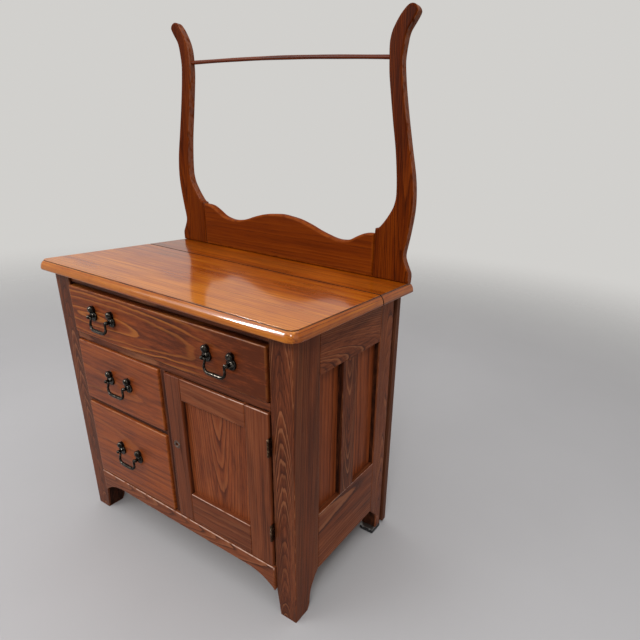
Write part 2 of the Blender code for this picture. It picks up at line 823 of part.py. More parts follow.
def build_hinge(name, z):
    """A butt hinge: the leaf on the post carries the pin, the leaf on the door the middle knuckle."""
    axis = hinge_axis + Vector((0, 0, z))
    tall = HINGE_HEIGHT / 2
    knuckle = HINGE_HEIGHT / 6
    near = DOOR_GAP / 2 - GAP - HINGE_LEAF
    inside = HINGE_BARREL + RUNNING_GAP
    upright = (0, 0, 1)
    for side, sign in (("frame", 1), ("door", -1)):
        label = f"{name}_{side}"
        a, b = sorted((sign * near, sign * (near + HINGE_LEAF)))
        low = axis + Vector((a, inside, -tall))
        high = axis + Vector((b, inside + HINGE_DEPTH, tall))
        leaf = add(label + "_leaf", box_mesh(label, low, high), dark_metal)
        if side == "frame":
            spans = [(knuckle + RUNNING_GAP / 2, tall), (-tall, -knuckle - RUNNING_GAP / 2)]
        else:
            spans = [(RUNNING_GAP / 2 - knuckle, knuckle - RUNNING_GAP / 2)]
        for k, (low, high) in enumerate(spans):
            strap = cutter_box(
                f"{label}_strap_{k}",
                axis + Vector((a, 0, low)),
                axis + Vector((b, inside + 0.001, high)),
            )
            boolean(leaf, strap, "UNION")
            place = axis + Vector((0, 0, (low + high) / 2))
            barrel = cylinder(f"{label}_barrel_{k}", HINGE_BARREL, place, high - low, upright, None, 16)
            boolean(leaf, barrel, "UNION")
        if side == "frame":
            pin = cylinder(label + "_pin", HINGE_PIN, axis, HINGE_HEIGHT - 0.002, upright, None, 10)
            boolean(leaf, pin, "UNION")
        else:
            bore = cylinder(
                label + "_bore", HINGE_PIN + RUNNING_GAP, axis, HINGE_HEIGHT, upright, None, 12
            )
            boolean(leaf, bore, "DIFFERENCE")
            set_origin(leaf, axis)


clear_scene()
parts = new_collection("washstand")
cutters = new_collection("washstand_cutters")
top_wood = new_material("varnished_top", (0.32, 0.12, 0.045), 0.22)
dark_wood = new_material("harp_wood", (0.17, 0.055, 0.028), 0.35)
frame_wood = new_material("frame_wood", (0.20, 0.075, 0.040), 0.42)
panel_wood = new_material("panel_wood", (0.22, 0.085, 0.040), 0.40)
front_wood = new_material("drawer_front_wood", (0.26, 0.095, 0.040), 0.38)
inner_wood = new_material("inner_wood", (0.30, 0.19, 0.11), 0.7)
box_wood = new_material("drawer_box_wood", (0.38, 0.25, 0.14), 0.7)
dark_metal = new_material("blackened_metal", (0.045, 0.042, 0.040), 0.42, 0.9)
old_brass = new_material("old_brass", (0.20, 0.13, 0.07), 0.5, 0.8)
rubber = new_material("black_rubber", (0.015, 0.015, 0.016), 0.75)

build_top()
build_harp()
build_sides(build_posts())
build_back()
build_front_frame()
build_drawers()
build_door()
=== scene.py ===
"""Looks of the washstand: varnished and worn wood, blackened pulls, rubber pads, studio light."""
import json
import math
import random

import bmesh
import bpy
from mathutils import Matrix, Vector


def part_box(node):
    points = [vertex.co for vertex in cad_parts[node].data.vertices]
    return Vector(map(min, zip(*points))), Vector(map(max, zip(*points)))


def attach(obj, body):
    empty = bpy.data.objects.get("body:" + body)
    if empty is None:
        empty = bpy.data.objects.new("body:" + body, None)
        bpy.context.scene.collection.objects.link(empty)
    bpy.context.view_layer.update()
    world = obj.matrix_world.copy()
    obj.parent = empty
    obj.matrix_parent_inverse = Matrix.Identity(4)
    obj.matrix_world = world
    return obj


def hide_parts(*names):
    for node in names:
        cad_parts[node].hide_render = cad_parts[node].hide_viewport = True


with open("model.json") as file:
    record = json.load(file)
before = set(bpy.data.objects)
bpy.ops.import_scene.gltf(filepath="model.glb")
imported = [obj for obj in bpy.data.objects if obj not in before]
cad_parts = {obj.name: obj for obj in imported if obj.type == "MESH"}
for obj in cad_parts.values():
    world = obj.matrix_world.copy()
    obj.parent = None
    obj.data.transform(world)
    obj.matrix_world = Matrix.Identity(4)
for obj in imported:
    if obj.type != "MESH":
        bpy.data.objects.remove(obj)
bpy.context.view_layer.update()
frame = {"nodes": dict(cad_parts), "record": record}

nodes = frame["nodes"]
record = frame["record"]
body_of = {node: body for body, members in record["behaviour"]["bodies"].items() for node in members}
slot_of = {row["node"]: row["material_slot"] for row in record["subparts"]}

X, Y, Z = Vector((1, 0, 0)), Vector((0, 1, 0)), Vector((0, 0, 1))
SIDES = (("left", -1), ("right", 1))


# Materials

class Graph:
    """The node tree of a material or a world, with short calls that add nodes to it."""

    def __init__(self, owner):
        owner.use_nodes = True
        self.owner = owner
        self.tree = owner.node_tree
        self.shader = self.tree.nodes.get("Principled BSDF")

    def plug(self, socket, value):
        if isinstance(value, bpy.types.NodeSocket):
            self.tree.links.new(value, socket)
        else:
            socket.default_value = value

    def add(self, kind, *values, out=0, **settings):
        node = self.tree.nodes.new("ShaderNode" + kind)
        for key, value in settings.items():
            setattr(node, key, value)
        for socket, value in zip(node.inputs, values):
            if value is not None:
                self.plug(socket, value)
        return node.outputs[out]

    def attribute(self, name, out):
        return self.add("Attribute", out=out, attribute_name=name)

    def math(self, operation, *values):
        return self.add("Math", *values, operation=operation)

    def times(self, a, b):
        return self.math("MULTIPLY", a, b)

    def plus(self, value, share, rest):
        """A share of the value, added to the rest."""
        return self.math("MULTIPLY_ADD", value, share, rest)

    def varied(self, noise, amount, rest):
        """The rest, moved up and down by a noise about its middle."""
        return self.plus(self.math("SUBTRACT", noise, 0.5), amount, rest)

    def scaled(self, vector, scale):
        return self.add("VectorMath", vector, scale, operation="MULTIPLY")

    def length(self, vector):
        return self.add("VectorMath", vector, out="Value", operation="LENGTH")

    def named(self, kind, **values):
        """A new node with the values in its inputs of the same names."""
        node = self.tree.nodes.new("ShaderNode" + kind)
        for key, value in values.items():
            self.plug(node.inputs[key], value)
        return node.outputs[0]

    def noise(self, vector, scale=1.0, detail=2.0, roughness=0.5):
        return self.named("TexNoise", Vector=vector, Scale=scale, Detail=detail, Roughness=roughness)

    def span(self, value, a, b, low=0.0, high=1.0):
        """The value's way from a to b, eased, as a way from low to high."""
        return self.add("MapRange", value, a, b, low, high, interpolation_type="SMOOTHSTEP")

    def mix(self, factor, a, b):
        """A mix of two colours, through the Mix node's colour sockets."""
        node = self.tree.nodes.new("ShaderNodeMix")
        node.data_type = "RGBA"
        for k, value in ((0, factor), (6, a), (7, b)):
            self.plug(node.inputs[k], value)
        return node.outputs[2]

    def bump(self, height, strength, distance=0.0004):
        bumpy = self.named("Bump", Height=height, Strength=strength, Distance=distance)
        self.plug(self.shader.inputs["Normal"], bumpy)

    def finish(self, **sockets):
        for name, value in sockets.items():
            self.plug(self.shader.inputs[name.replace("_", " ")], value)
        return self.owner


def rgb(r, g, b):
    return (r, g, b, 1.0)


# How fast each figure of the wood changes along and across the log
DRIFT = (2.2, 16, 16)
RIPPLE = (22, 60, 60)
STREAK = (2.6, 95, 95)
BLOTCH = (5, 13, 13)
FIBRE = (9, 330, 330)
PORE = (34, 1150, 1150)
RIPPLE_SHARE = 0.4
# Shares of a ring over which its pale late wood begins and ends
LATE_RISE = (0.55, 0.82)
LATE_FALL = (0.92, 1.0)
# Place of the middle tone between the deepest and the lightest
MIDDLE_TONE = 0.42
# Wear at which an arris begins to look rubbed, bare or grimy, and is so in full; rubbed and bare are partly
# painted highlight and sheen, grimy is partly painted shade
RUB_AND_SHEEN = (0.25, 1.0)
BARE_AND_HIGHLIGHT = (1.05, 1.45)
GRIME_AND_SHADE = (-0.05, -1.0)
BARE_HIGHLIGHT_TONE = (0.64, 0.44, 0.36)
COAT_ROUGHNESS = 0.1


def ring_lines(g, place, tone, ring, wave, band, spare, plain):
    """Where the dark pores of each ring are, and where its pale late wood is."""
    drift = g.noise(g.scaled(place, DRIFT), detail=3)
    ripple = g.noise(g.scaled(place, RIPPLE))
    across = g.length(g.scaled(place, (0, 1, 1)))
    turns = g.plus(across, 1 / ring, g.times(drift, wave))
    turns = g.plus(ripple, RIPPLE_SHARE, turns)
    share = g.math("FRACT", turns)
    count = g.math("FLOOR", turns)
    luck = g.add("TexWhiteNoise", None, count, noise_dimensions="1D")
    chance = g.add("TexWhiteNoise", None, g.math("ADD", count, 0.5), noise_dimensions="1D")
    shown = g.span(luck, spare, 1.0) if spare else g.plus(luck, 0.75, 0.25)
    early = g.times(g.span(share, 0.1 * band, band, 1.0, 0.0), shown)
    late = g.times(g.span(share, *LATE_RISE), g.span(share, *LATE_FALL, 1.0, 0.0))
    late = g.times(late, g.span(chance, 0.25, 0.9))
    if plain:
        clear = g.span(tone, *plain)
        early = g.times(early, clear)
        late = g.times(late, clear)
    return early, late


def wood(name, tones, ring, wave=1.6, lines=0.85, pale=0.35, figure=1.0, band=0.42, spare=0.0, plain=None,
         gloss=0.34, coat=0.0, relief=0.25, shine=0.15):
    """Wood cut from a log: rings about the pith, pores, fibres, uneven stain, worn and grimy edges, painted
    highlights on some arrises and painted shade in gaps and recesses.

    The attribute grain holds each point's place in the log: along it, and across it from the pith.
    The attribute edge is 1 on a worn arris, up to 1.5 where it is rubbed pale with a painted highlight, and
    -1 where grime and painted shade darken a corner, gap or recess.
    Spare is the share of rings without a pore line; plain is the pair of tones where the rings fade away.
    """
    g = Graph(bpy.data.materials.new(name))
    dark, mid, light, tan = (rgb(*tone) for tone in tones)
    deep = rgb(*(0.5 * c for c in tones[1]))
    grimy_shade = rgb(*(0.18 * c for c in tones[0]))
    place = g.attribute("grain", "Vector")
    edge = g.attribute("edge", "Fac")
    tone = g.attribute("tone", "Fac")

    early, late = ring_lines(g, place, tone, ring, wave, band, spare, plain)
    streak = g.noise(g.scaled(place, STREAK), detail=3, roughness=0.6)
    blotch = g.noise(g.scaled(place, BLOTCH), detail=3, roughness=0.6)
    fibre = g.noise(g.scaled(place, FIBRE), detail=4, roughness=0.6)
    pore = g.span(g.noise(g.scaled(place, PORE), detail=1), 0.52, 0.70)
    pore = g.times(pore, g.plus(early, 0.75, 0.25))

    body = g.varied(streak, 1.5 * figure, 0.5)
    body = g.varied(blotch, 1.1 * figure, body)
    body = g.varied(fibre, 1.2 * figure, body)
    body = g.math("ADD", body, tone)
    ramp = g.tree.nodes.new("ShaderNodeValToRGB")
    ramp.color_ramp.elements[0].color = deep
    ramp.color_ramp.elements[1].color = light
    ramp.color_ramp.elements.new(MIDDLE_TONE).color = mid
    g.plug(ramp.inputs[0], body)
    colour = g.mix(g.times(late, pale), ramp.outputs[0], tan)
    colour = g.mix(g.times(early, lines), colour, dark)
    colour = g.mix(g.times(pore, 0.6), colour, dark)

    # Tan on worn arrises; on the harp's right sides and the moulding's slope it is also painted sheen and
    # light
    rub_and_sheen = g.times(g.span(edge, *RUB_AND_SHEEN), g.span(g.noise(place, 45, 3), 0.32, 0.62))
    colour = g.mix(g.times(rub_and_sheen, 0.6), colour, tan)
    # Pale bare tone on crowned arrises: partly wear, partly a painted highlight
    bare_and_highlight = g.times(g.span(edge, *BARE_AND_HIGHLIGHT), g.span(g.noise(place, 80, 3), 0.30, 0.55))
    colour = g.mix(g.times(bare_and_highlight, 0.8), colour, rgb(*BARE_HIGHLIGHT_TONE))
    # Darkening where edge is below 0: grime on joints and arrises, and painted shade in gaps and recesses
    grime_and_shade = g.times(g.span(edge, *GRIME_AND_SHADE), g.span(g.noise(place, 30), 0.2, 0.7, 0.55))
    colour = g.mix(g.times(grime_and_shade, 0.92), colour, grimy_shade)

    rough = g.varied(blotch, 0.22, gloss)
    rough = g.plus(pore, 0.12, rough)
    rough = g.plus(grime_and_shade, 0.3, rough)
    height = g.plus(pore, -0.9, g.times(fibre, 0.5))
    height = g.plus(early, -0.35, height)
    g.bump(height, relief)
    return g.finish(Base_Color=colour, Roughness=rough, Coat_Weight=coat, Coat_Roughness=COAT_ROUGHNESS,
                    Specular_IOR_Level=shine)


SCRATCHES = (900, 240, 900)


def metal(name, base, bright, gloss):
    """Old metal: tarnish in patches, rubbed bright where it is handled."""
    g = Graph(bpy.data.materials.new(name))
    place = g.add("TexCoord", out="Object")
    patch = g.noise(place, 160, 4, 0.6)
    scratch = g.noise(g.scaled(place, SCRATCHES), detail=3)
    colour = g.mix(g.span(patch, 0.48, 0.72), rgb(*base), rgb(*bright))
    g.bump(g.plus(scratch, 0.4, patch), 0.25, distance=0.0003)
    return g.finish(Base_Color=colour, Roughness=g.plus(scratch, 0.22, gloss), Metallic=1.0)


RUBBER_BLACK = (0.010, 0.010, 0.011)
RUBBER_DUST = (0.055, 0.052, 0.05)


def rubber():
    """Black rubber with a dusty bloom."""
    g = Graph(bpy.data.materials.new("rubber"))
    place = g.add("TexCoord", out="Object")
    dust = g.noise(place, 120, 4, 0.65)
    grit = g.noise(place, 900)
    colour = g.mix(g.span(dust, 0.45, 0.8), rgb(*RUBBER_BLACK), rgb(*RUBBER_DUST))
    g.bump(g.math("ADD", grit, dust), 0.3)
    return g.finish(Base_Color=colour, Roughness=g.plus(dust, 0.3, 0.5))


# Pore lines, middle, light and pale streaks of each wood
TOP_TONES = (0.06, 0.009, 0.001), (0.29, 0.056, 0.001), (0.51, 0.150, 0.004), (0.54, 0.20, 0.020)
HARP_TONES = (0.018, 0.003, 0.001), (0.098, 0.014, 0.001), (0.17, 0.029, 0.001), (0.21, 0.044, 0.004)
SPLASH_TONES = (0.026, 0.004, 0.001), (0.138, 0.022, 0.001), (0.23, 0.042, 0.001), (0.26, 0.056, 0.004)
FRAME_TONES = (0.040, 0.009, 0.004), (0.160, 0.038, 0.012), (0.25, 0.068, 0.023), (0.34, 0.125, 0.050)
PANEL_TONES = (0.050, 0.009, 0.003), (0.20, 0.044, 0.012), (0.29, 0.070, 0.019), (0.35, 0.12, 0.040)
FRONT_TONES = (0.045, 0.009, 0.003), (0.19, 0.038, 0.008), (0.32, 0.070, 0.012), (0.42, 0.135, 0.024)
BACK_TONES = (0.035, 0.010, 0.005), (0.10, 0.032, 0.014), (0.16, 0.055, 0.026), (0.2, 0.08, 0.04)
# Near-black wood for the walls of the open seam: painted shade
SEAM_SHADE_TONES = (0.006, 0.002, 0.001), (0.016, 0.006, 0.003), (0.026, 0.010, 0.005), (0.03, 0.012, 0.006)
INNER_TONES = (0.14, 0.075, 0.038), (0.29, 0.175, 0.095), (0.38, 0.25, 0.145), (0.45, 0.32, 0.21)
BOX_TONES = (0.20, 0.115, 0.055), (0.38, 0.245, 0.130), (0.48, 0.33, 0.19), (0.55, 0.41, 0.27)

FRAME_CUT = dict(tones=FRAME_TONES, ring=0.0056, wave=2.0, gloss=0.38, shine=0.1)
WOODS = {
    "top_wood": dict(tones=TOP_TONES, ring=0.0058, wave=1.8, lines=1.0, pale=0.3, figure=0.95, band=0.30,
                     spare=0.20, gloss=0.30, coat=0.66, relief=0.07, shine=0.05),
    "harp_wood": dict(tones=HARP_TONES, ring=0.0048, lines=0.9, pale=0.5, figure=1.35, gloss=0.42,
                      shine=0.015),
    "splash_wood": dict(tones=SPLASH_TONES, ring=0.0060, lines=0.20, figure=0.50, gloss=0.42, shine=0.02),
    "bar_wood": dict(tones=HARP_TONES, ring=0.0042, lines=0.4, figure=0.8, gloss=0.40, shine=0.10),
    "frame_wood": dict(FRAME_CUT, lines=0.9, pale=0.55, figure=1.3),
    "quiet_frame": dict(FRAME_CUT, lines=0.3, pale=0.25),
    "panel_wood": dict(tones=PANEL_TONES, ring=0.0058, lines=0.8, figure=1.2, gloss=0.38, shine=0.1),
    "front_wood": dict(tones=FRONT_TONES, ring=0.0125, wave=2.4, lines=0.5, pale=0.8, plain=(-0.46, -0.20),
                       gloss=0.33, shine=0.1),
    "quiet_front": dict(tones=FRONT_TONES, ring=0.0090, lines=0.35, pale=0.22, figure=1.2, gloss=0.33),
    "inner_wood": dict(tones=INNER_TONES, ring=0.0055, lines=0.5, gloss=0.72, relief=0.5),
    "box_wood": dict(tones=BOX_TONES, ring=0.0055, lines=0.4, gloss=0.68, relief=0.4),
    "back_wood": dict(tones=BACK_TONES, ring=0.0055, lines=0.6, gloss=0.6, relief=0.4),
    "seam_shade_wood": dict(tones=SEAM_SHADE_TONES, ring=0.0055, gloss=0.7, relief=0.4),
}
# Dull and bright colour of each metal, and its lowest roughness
METALS = {
    "dark_metal": ((0.018, 0.015, 0.012), (0.10, 0.089, 0.075), 0.15),
    "old_brass": ((0.11, 0.07, 0.055), (0.25, 0.19, 0.155), 0.42),
    "hinge_metal": ((0.040, 0.020, 0.010), (0.20, 0.13, 0.08), 0.30),
    "plate_steel": ((0.36, 0.35, 0.34), (0.62, 0.61, 0.60), 0.3),
}
materials = {name: wood(name, **look) for name, look in WOODS.items()}
materials.update({name: metal(name, *look) for name, look in METALS.items()})
materials["rubber"] = rubber()


# Mesh building

# Rounding of the arrises of each kind of piece
SOFT = 0.0016
FRAME_SOFT = 0.0008
FRONT_SOFT = 0.0026
DOOR_SOFT = 0.0021
HARP_SOFT = 0.0042
PANEL_SOFT = 0.0006
BOX_SOFT = 0.0010
# How far an arris's wear reaches onto the faces of a board, and of a piece with an outline
WEAR_BAND = 0.006
OUTLINE_BAND = 0.003
WELD = 0.00001


def eased(value, a, b):
    """0 below a, 1 above b, and a smooth way between them."""
    t = min(1.0, max(0.0, (value - a) / (b - a)))
    return t * t * (3 - 2 * t)


def spread_of(axis):
    """The two axes across an axis (0, 1 or 2), in turn."""
    return (axis + 1) % 3, (axis + 2) % 3


def mesh_of(bm, name):
    """The mesh made of a bmesh, which is freed."""
    mesh = bpy.data.meshes.new(name)
    bm.to_mesh(mesh)
    bm.free()
    return mesh


def new_object(name, data):
    made = bpy.data.objects.new(name, data)
    bpy.context.scene.collection.objects.link(made)
    return made


def face_out(bm):
    bmesh.ops.recalc_face_normals(bm, faces=bm.faces)


def bridge(bm, rings):
    """Joins each ring of points to the next one with a band of faces."""
    count = len(rings[0])
    for a, b in zip(rings, rings[1:]):
        for k in range(count):
            n = (k + 1) % count
            bm.faces.new((a[k], a[n], b[n], b[k]))


def solid_box(low, high):
    bm = bmesh.new()
    bmesh.ops.create_cube(bm, size=1)
    bmesh.ops.scale(bm, vec=Vector(high) - Vector(low), verts=bm.verts)
    bmesh.ops.translate(bm, vec=(Vector(low) + Vector(high)) / 2, verts=bm.verts)
    return bm


def solid_slab(outline, front, back):
    """An outline seen along Y, drawn out from front to back."""
    bm = bmesh.new()
    rings = [[bm.verts.new((p.x, y, p.z)) for p in outline] for y in (front, back)]
    bridge(bm, rings)
    for ring in rings:
        bm.faces.new(ring)
    face_out(bm)
    return bm


def prism_of(node, axis, sign, soft, curve=True, segments=3, shape=None):
    """The node's outline drawn out along an axis, with rounded arrises that are marked as worn.

    Shape may change the outline, and curve smooths it.
    """
    low, high = (corner[axis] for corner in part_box(node))
    outline = cap_outline(node, axis, sign)
    if shape:
        outline = shape(outline)
    if curve:
        outline = smoothed(outline)
    spread = spread_of(axis)
    reach = soft + OUTLINE_BAND
    half = [(reach, 0.0, 0.0)]
    for k in range(segments + 1):
        angle = math.pi / 2 * k / segments
        half.append((soft * (1 - math.sin(angle)), soft * (1 - math.cos(angle)), 1.0))
    if high - low > 2.5 * reach:
        half.append((0.0, reach, 0.0))
    sections = [(inset, low + rise, wear) for inset, rise, wear in half]
    sections += [(inset, high - rise, wear) for inset, rise, wear in reversed(half)]
    ways = ways_in(outline, spread)
    bm = bmesh.new()
    edge = bm.verts.layers.float.new("edge")
    rings = []
    for inset, level, wear in sections:
        ring = []
        for point in inset_outline(outline, spread, ways, inset):
            point[axis] = level
            vert = bm.verts.new(point)
            vert[edge] = wear
            ring.append(vert)
        rings.append(ring)
    bridge(bm, rings)
    caps = [bm.faces.new(rings[0]), bm.faces.new(rings[-1])]
    face_out(bm)
    bm.normal_update()
    bmesh.ops.triangulate(bm, faces=caps)
    bmesh.ops.remove_doubles(bm, verts=bm.verts, dist=WELD)
    return bm


# How closely a flat end is welded, level and square
CAP_WELD = 0.00002
CAP_LEVEL = 0.00003
CAP_SQUARE = 0.999


def cap_outline(node, axis, sign):
    """The outline of a node's flat end, from its outermost point on, grown by its softened edge."""
    bm = bmesh.new()
    bm.from_mesh(nodes[node].data)
    bmesh.ops.remove_doubles(bm, verts=bm.verts, dist=CAP_WELD)
    level = max(sign * vert.co[axis] for vert in bm.verts)
    cap = {
        face for face in bm.faces
        if sign * face.normal[axis] > CAP_SQUARE
        and all(abs(sign * vert.co[axis] - level) < CAP_LEVEL for vert in face.verts)
    }
    border = {}
    for face in cap:
        for loop in face.loops:
            if not any(other in cap for other in loop.edge.link_faces if other is not face):
                border[loop.vert] = loop.link_loop_next.vert
    spread = u, v = spread_of(axis)
    at = min(border, key=lambda vert: (vert.co[u], vert.co[v]))
    outline = []
    while at in border:
        outline.append(at.co.copy())
        at = border.pop(at)
    reach = max(vert.co[u] for vert in bm.verts) - max(point[u] for point in outline)
    bm.free()
    return inset_outline(outline, spread, ways_in(outline, spread), -reach)


# A way inwards: spacing of the points it is tested against, share of the room, least cosine
WAY_SAMPLE = 0.002
WAY_SHARE = 0.9
WAY_STRETCH = 0.4


def ways_in(outline, spread):
    """For each point of the outline: the way inwards, its stretch at a corner, and how far it may go."""
    u, v = spread
    flat = [Vector((p[u], p[v])) for p in outline]
    count = len(flat)
    area = sum(a.x * b.y - b.x * a.y for a, b in zip(flat, flat[1:] + flat[:1]))
    turn = 1 if area > 0 else -1
    samples = []
    for k in range(count):
        a, b = flat[k], flat[(k + 1) % count]
        number = max(1, math.ceil((b - a).length / WAY_SAMPLE))
        samples.append([a.lerp(b, i / number) for i in range(number + 1)])
    ways = []
    for k, point in enumerate(flat):
        a = (point - flat[k - 1]).normalized()
        b = (flat[(k + 1) % count] - point).normalized()
        side = Vector((-a.y, a.x)) * turn
        way = side + Vector((-b.y, b.x)) * turn
        way = way.normalized() if way.length > 0.01 else side
        limit = 1.0
        for i, row in enumerate(samples):
            for other in row if i not in (k, (k - 1) % count) else ():
                step = other - point
                reach = way.dot(step)
                if reach > 1e-6:
                    limit = min(limit, step.length_squared / (2 * reach))
        ways.append((way, 1 / max(WAY_STRETCH, way.dot(side)), WAY_SHARE * limit))
    return ways


def inset_outline(outline, spread, ways, inset):
    """The outline moved inwards, less where it is too tight, so that it never crosses itself."""
    made = []
    for point, (way, stretch, limit) in zip(outline, ways):
        amount = min(inset * stretch, limit)
        place = point.copy()
        place[spread[0]] += amount * way.x
        place[spread[1]] += amount * way.y
        made.append(place)
    return made


def rubbed(outline, level, rounds=4):
    """The outline with the part above a level worn round."""
    count = len(outline)
    for _ in range(rounds):
        outline = [
            0.25 * outline[k - 1] + 0.5 * p + 0.25 * outline[(k + 1) % count] if p.z > level else p
            for k, p in enumerate(outline)
        ]
    return outline


def between(a, b, lean_a, lean_b, steps):
    """Points on a curve from a on towards b, which leaves a along lean_a and meets b along lean_b."""
    made = []
    reach = (b - a).length
    for i in range(steps):
        t = i / steps
        made.append(
            (1 + 2 * t) * (1 - t) ** 2 * a + t * t * (3 - 2 * t) * b
            + reach * (t * (1 - t) ** 2 * lean_a + t * t * (t - 1) * lean_b)
        )
    return made


# Turns below this angle and stretches between these lengths are curved
SHARP_CORNER = math.radians(32)
SHORT_STRETCH = 0.004
LONG_STRETCH = 0.1
STRETCH_STEPS = 3


def smoothed(outline):
    """The closed outline with curved stretches between its sharp corners."""
    count = len(outline)
    edges = [outline[(k + 1) % count] - outline[k] for k in range(count)]
    made = []
    for k, edge in enumerate(edges):
        n = (k + 1) % count
        lean_a = edges[k - 1] + edge if edges[k - 1].angle(edge, 0) < SHARP_CORNER else edge
        lean_b = edge + edges[n] if edge.angle(edges[n], 0) < SHARP_CORNER else edge
        number = STRETCH_STEPS if SHORT_STRETCH < edge.length < LONG_STRETCH else 1
        made += between(outline[k], outline[n], lean_a.normalized(), lean_b.normalized(), number)
    return made


def curved(points, steps):
    """The open row of points with a smooth curve through them."""
    ends = [points[0], *points, points[-1]]
    leans = [(after - before).normalized() for before, after in zip(ends, ends[2:])]
    made = []
    for stretch in zip(points, points[1:], leans, leans[1:]):
        made += between(*stretch, steps)
    return made + [points[-1]]


def cut(bm, *cutters):
    """The solid without the cutters, which are solids too."""
    objects = [new_object("cut", mesh_of(part, "cut")) for part in (bm, *cutters)]
    for other in objects[1:]:
        step = objects[0].modifiers.new("cut", "BOOLEAN")
        step.object = other
        step.operation = "DIFFERENCE"
        step.solver = "EXACT"
    graph = bpy.context.evaluated_depsgraph_get()
    made = bmesh.new()
    made.from_mesh(objects[0].evaluated_get(graph).to_mesh())
    for obj in objects:
        bpy.data.objects.remove(obj)
    return made


def slice_at(bm, place, way, clear=False):
    """Cuts the mesh along a plane, and clears what lies beyond it when asked to."""
    bmesh.ops.bisect_plane(bm, geom=bm.verts[:] + bm.edges[:] + bm.faces[:], plane_co=place, plane_no=way,
                           clear_outer=clear)


# Edges are rounded from this angle on; the main faces, if large enough, get a band of wear
SHARP_EDGE = math.radians(35)
MAIN_FACES = 8
SAME_WAY = 0.9995
LEAST_FACE = 0.0004
BAND_SHARE = 0.3


def soften(bm, width, segments=3):
    """Rounds the sharp edges, and marks them and a band beside them as worn."""
    sharp = [e for e in bm.edges if len(e.link_faces) == 2 and e.calc_face_angle(0) > SHARP_EDGE]
    flat = sorted(bm.faces, key=lambda f: -f.calc_area())[:MAIN_FACES]
    normals = [f.normal.copy() for f in flat]
    bmesh.ops.bevel(bm, geom=sharp, offset=width, segments=segments, profile=0.5, affect="EDGES",
                    clamp_overlap=True)
    edge = bm.verts.layers.float.new("edge")
    for vert in bm.verts:
        vert[edge] = 1.0
    faces = [f for f in bm.faces if any(f.normal.dot(n) > SAME_WAY for n in normals)]
    faces = [f for f in faces if f.calc_area() > LEAST_FACE and len(f.verts) == 4]
    for face in faces:
        narrow = face.calc_area() / max(e.calc_length() for e in face.edges)
        band = min(WEAR_BAND, BAND_SHARE * narrow)
        bmesh.ops.inset_individual(bm, faces=[face], thickness=band, use_even_offset=True)
        for vert in face.verts:
            vert[edge] = 0.0
    return bm


def edge_layer(bm):
    """The layer that holds the wear or grime of each point."""
    return bm.verts.layers.float.get("edge") or bm.verts.layers.float.new("edge")


def set_edge(bm, value):
    """Gives the wear of every arris another strength, or grime and painted shade when it is below 0."""
    edge = edge_layer(bm)
    for vert in bm.verts:
        vert[edge] *= value
    return bm


def set_walls(bm, ways, grime_and_shade=-1.0):
    """Darkens the flat walls that look along one of the ways: painted shade, where the walls stand in gaps
    and recesses.
    """
    edge = edge_layer(bm)
    bm.normal_update()
    for vert in bm.verts:
        if vert[edge] == 0 and any(vert.normal.dot(way) > 0.7 for way in ways):
            vert[edge] = grime_and_shade
    return bm


def set_crown(bm, out, value, fade=0.0):
    """Rubs the upper arris towards out pale, worn wood with a painted highlight, less by fade for each
    metre from its right end.
    """
    right = max(vert.co.x for vert in bm.verts)
    edge = edge_layer(bm)
    bm.normal_update()
    for vert in bm.verts:
        if vert[edge] != 0 and vert.normal.z > 0.3 and vert.normal.dot(out) > 0.2:
            vert[edge] = value - fade * (right - vert.co.x)
    return bm


def paint_side_sheen(bm, out, value):
    """Gives the side that looks towards out another wear, with its arrises; on the harp this paints a pale
    sheen.
    """
    edge = edge_layer(bm)
    bm.normal_update()
    for vert in bm.verts:
        if vert.normal.dot(out) > 0.5:
            vert[edge] = value
    return bm


# Reach of a log's random start and lean; it sways once in two pi times the sway length
LOG_START = 20
LOG_LEAN = 0.008
SWAY_LENGTH = 0.08


def set_grain(bm, along, out, depth=0.06, shift=0.0, tilt=0.03, seed=0, tone=0.0, fade=0.0, shade=0.0,
              fine=1.0, sway=0.0, steep=0.0):
    """Places the piece in a log: the grain runs along, the pith lies depth behind the face towards out.

    The tone changes by fade along the piece and by a painted light gradient across it, which makes one side
    lighter as if lit more; fine makes its rings narrower.
    The log sways, so that its rings cross the face at their steepest at the place steep along the piece.
    """
    luck = random.Random(seed)
    edge_layer(bm)
    grain = bm.verts.layers.float_vector.new("grain")
    tones = bm.verts.layers.float.new("tone")
    across = along.cross(out)
    places = [v.co for v in bm.verts]
    middle = sum(places, Vector()) / len(places)
    face = max(p.dot(out) for p in places)
    start = luck.uniform(-LOG_START, LOG_START)
    lean = luck.uniform(-LOG_LEAN, LOG_LEAN)
    for vert in bm.verts:
        a = (vert.co - middle).dot(along)
        c = (vert.co - middle).dot(across)
        bend = sway * math.sin((a - steep) / SWAY_LENGTH)
        vert[grain] = (
            a + start,
            fine * (c - shift + lean * a),
            fine * (vert.co.dot(out) - face + depth + tilt * a + bend),
        )
        vert[tones] = tone + fade * a + shade * c
    return bm


def add_piece(name, bm, look, body, slot, sharp=38):
    """Makes the object, smooth up to a sharp angle, and sets its body; slot is not used."""
    mesh = mesh_of(bm, name)
    mesh.materials.append(materials[look])
    mesh.shade_smooth()
    mesh.set_sharp_from_angle(angle=math.radians(sharp))
    made = new_object(name, mesh)
    even = made.modifiers.new("Even shading", "WEIGHTED_NORMAL")
    even.keep_sharp = True
    even.weight = 90
    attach(made, body)
    return made


def stand_in(node, bm, look, **more):
    """The piece that stands for one node."""
    made = add_piece(node + "_dressed", bm, look, body_of[node], slot_of[node], **more)
    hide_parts(node)
    return made


def dress(node, bm, along, out, look=None, **grain):
    """The finished piece of one wooden node, with a look of its own or its slot's."""
    seed = sum(ord(c) * (k + 1) for k, c in enumerate(node))
    set_grain(bm, along, out, seed=seed, **grain)
    return stand_in(node, bm, look or slot_of[node])


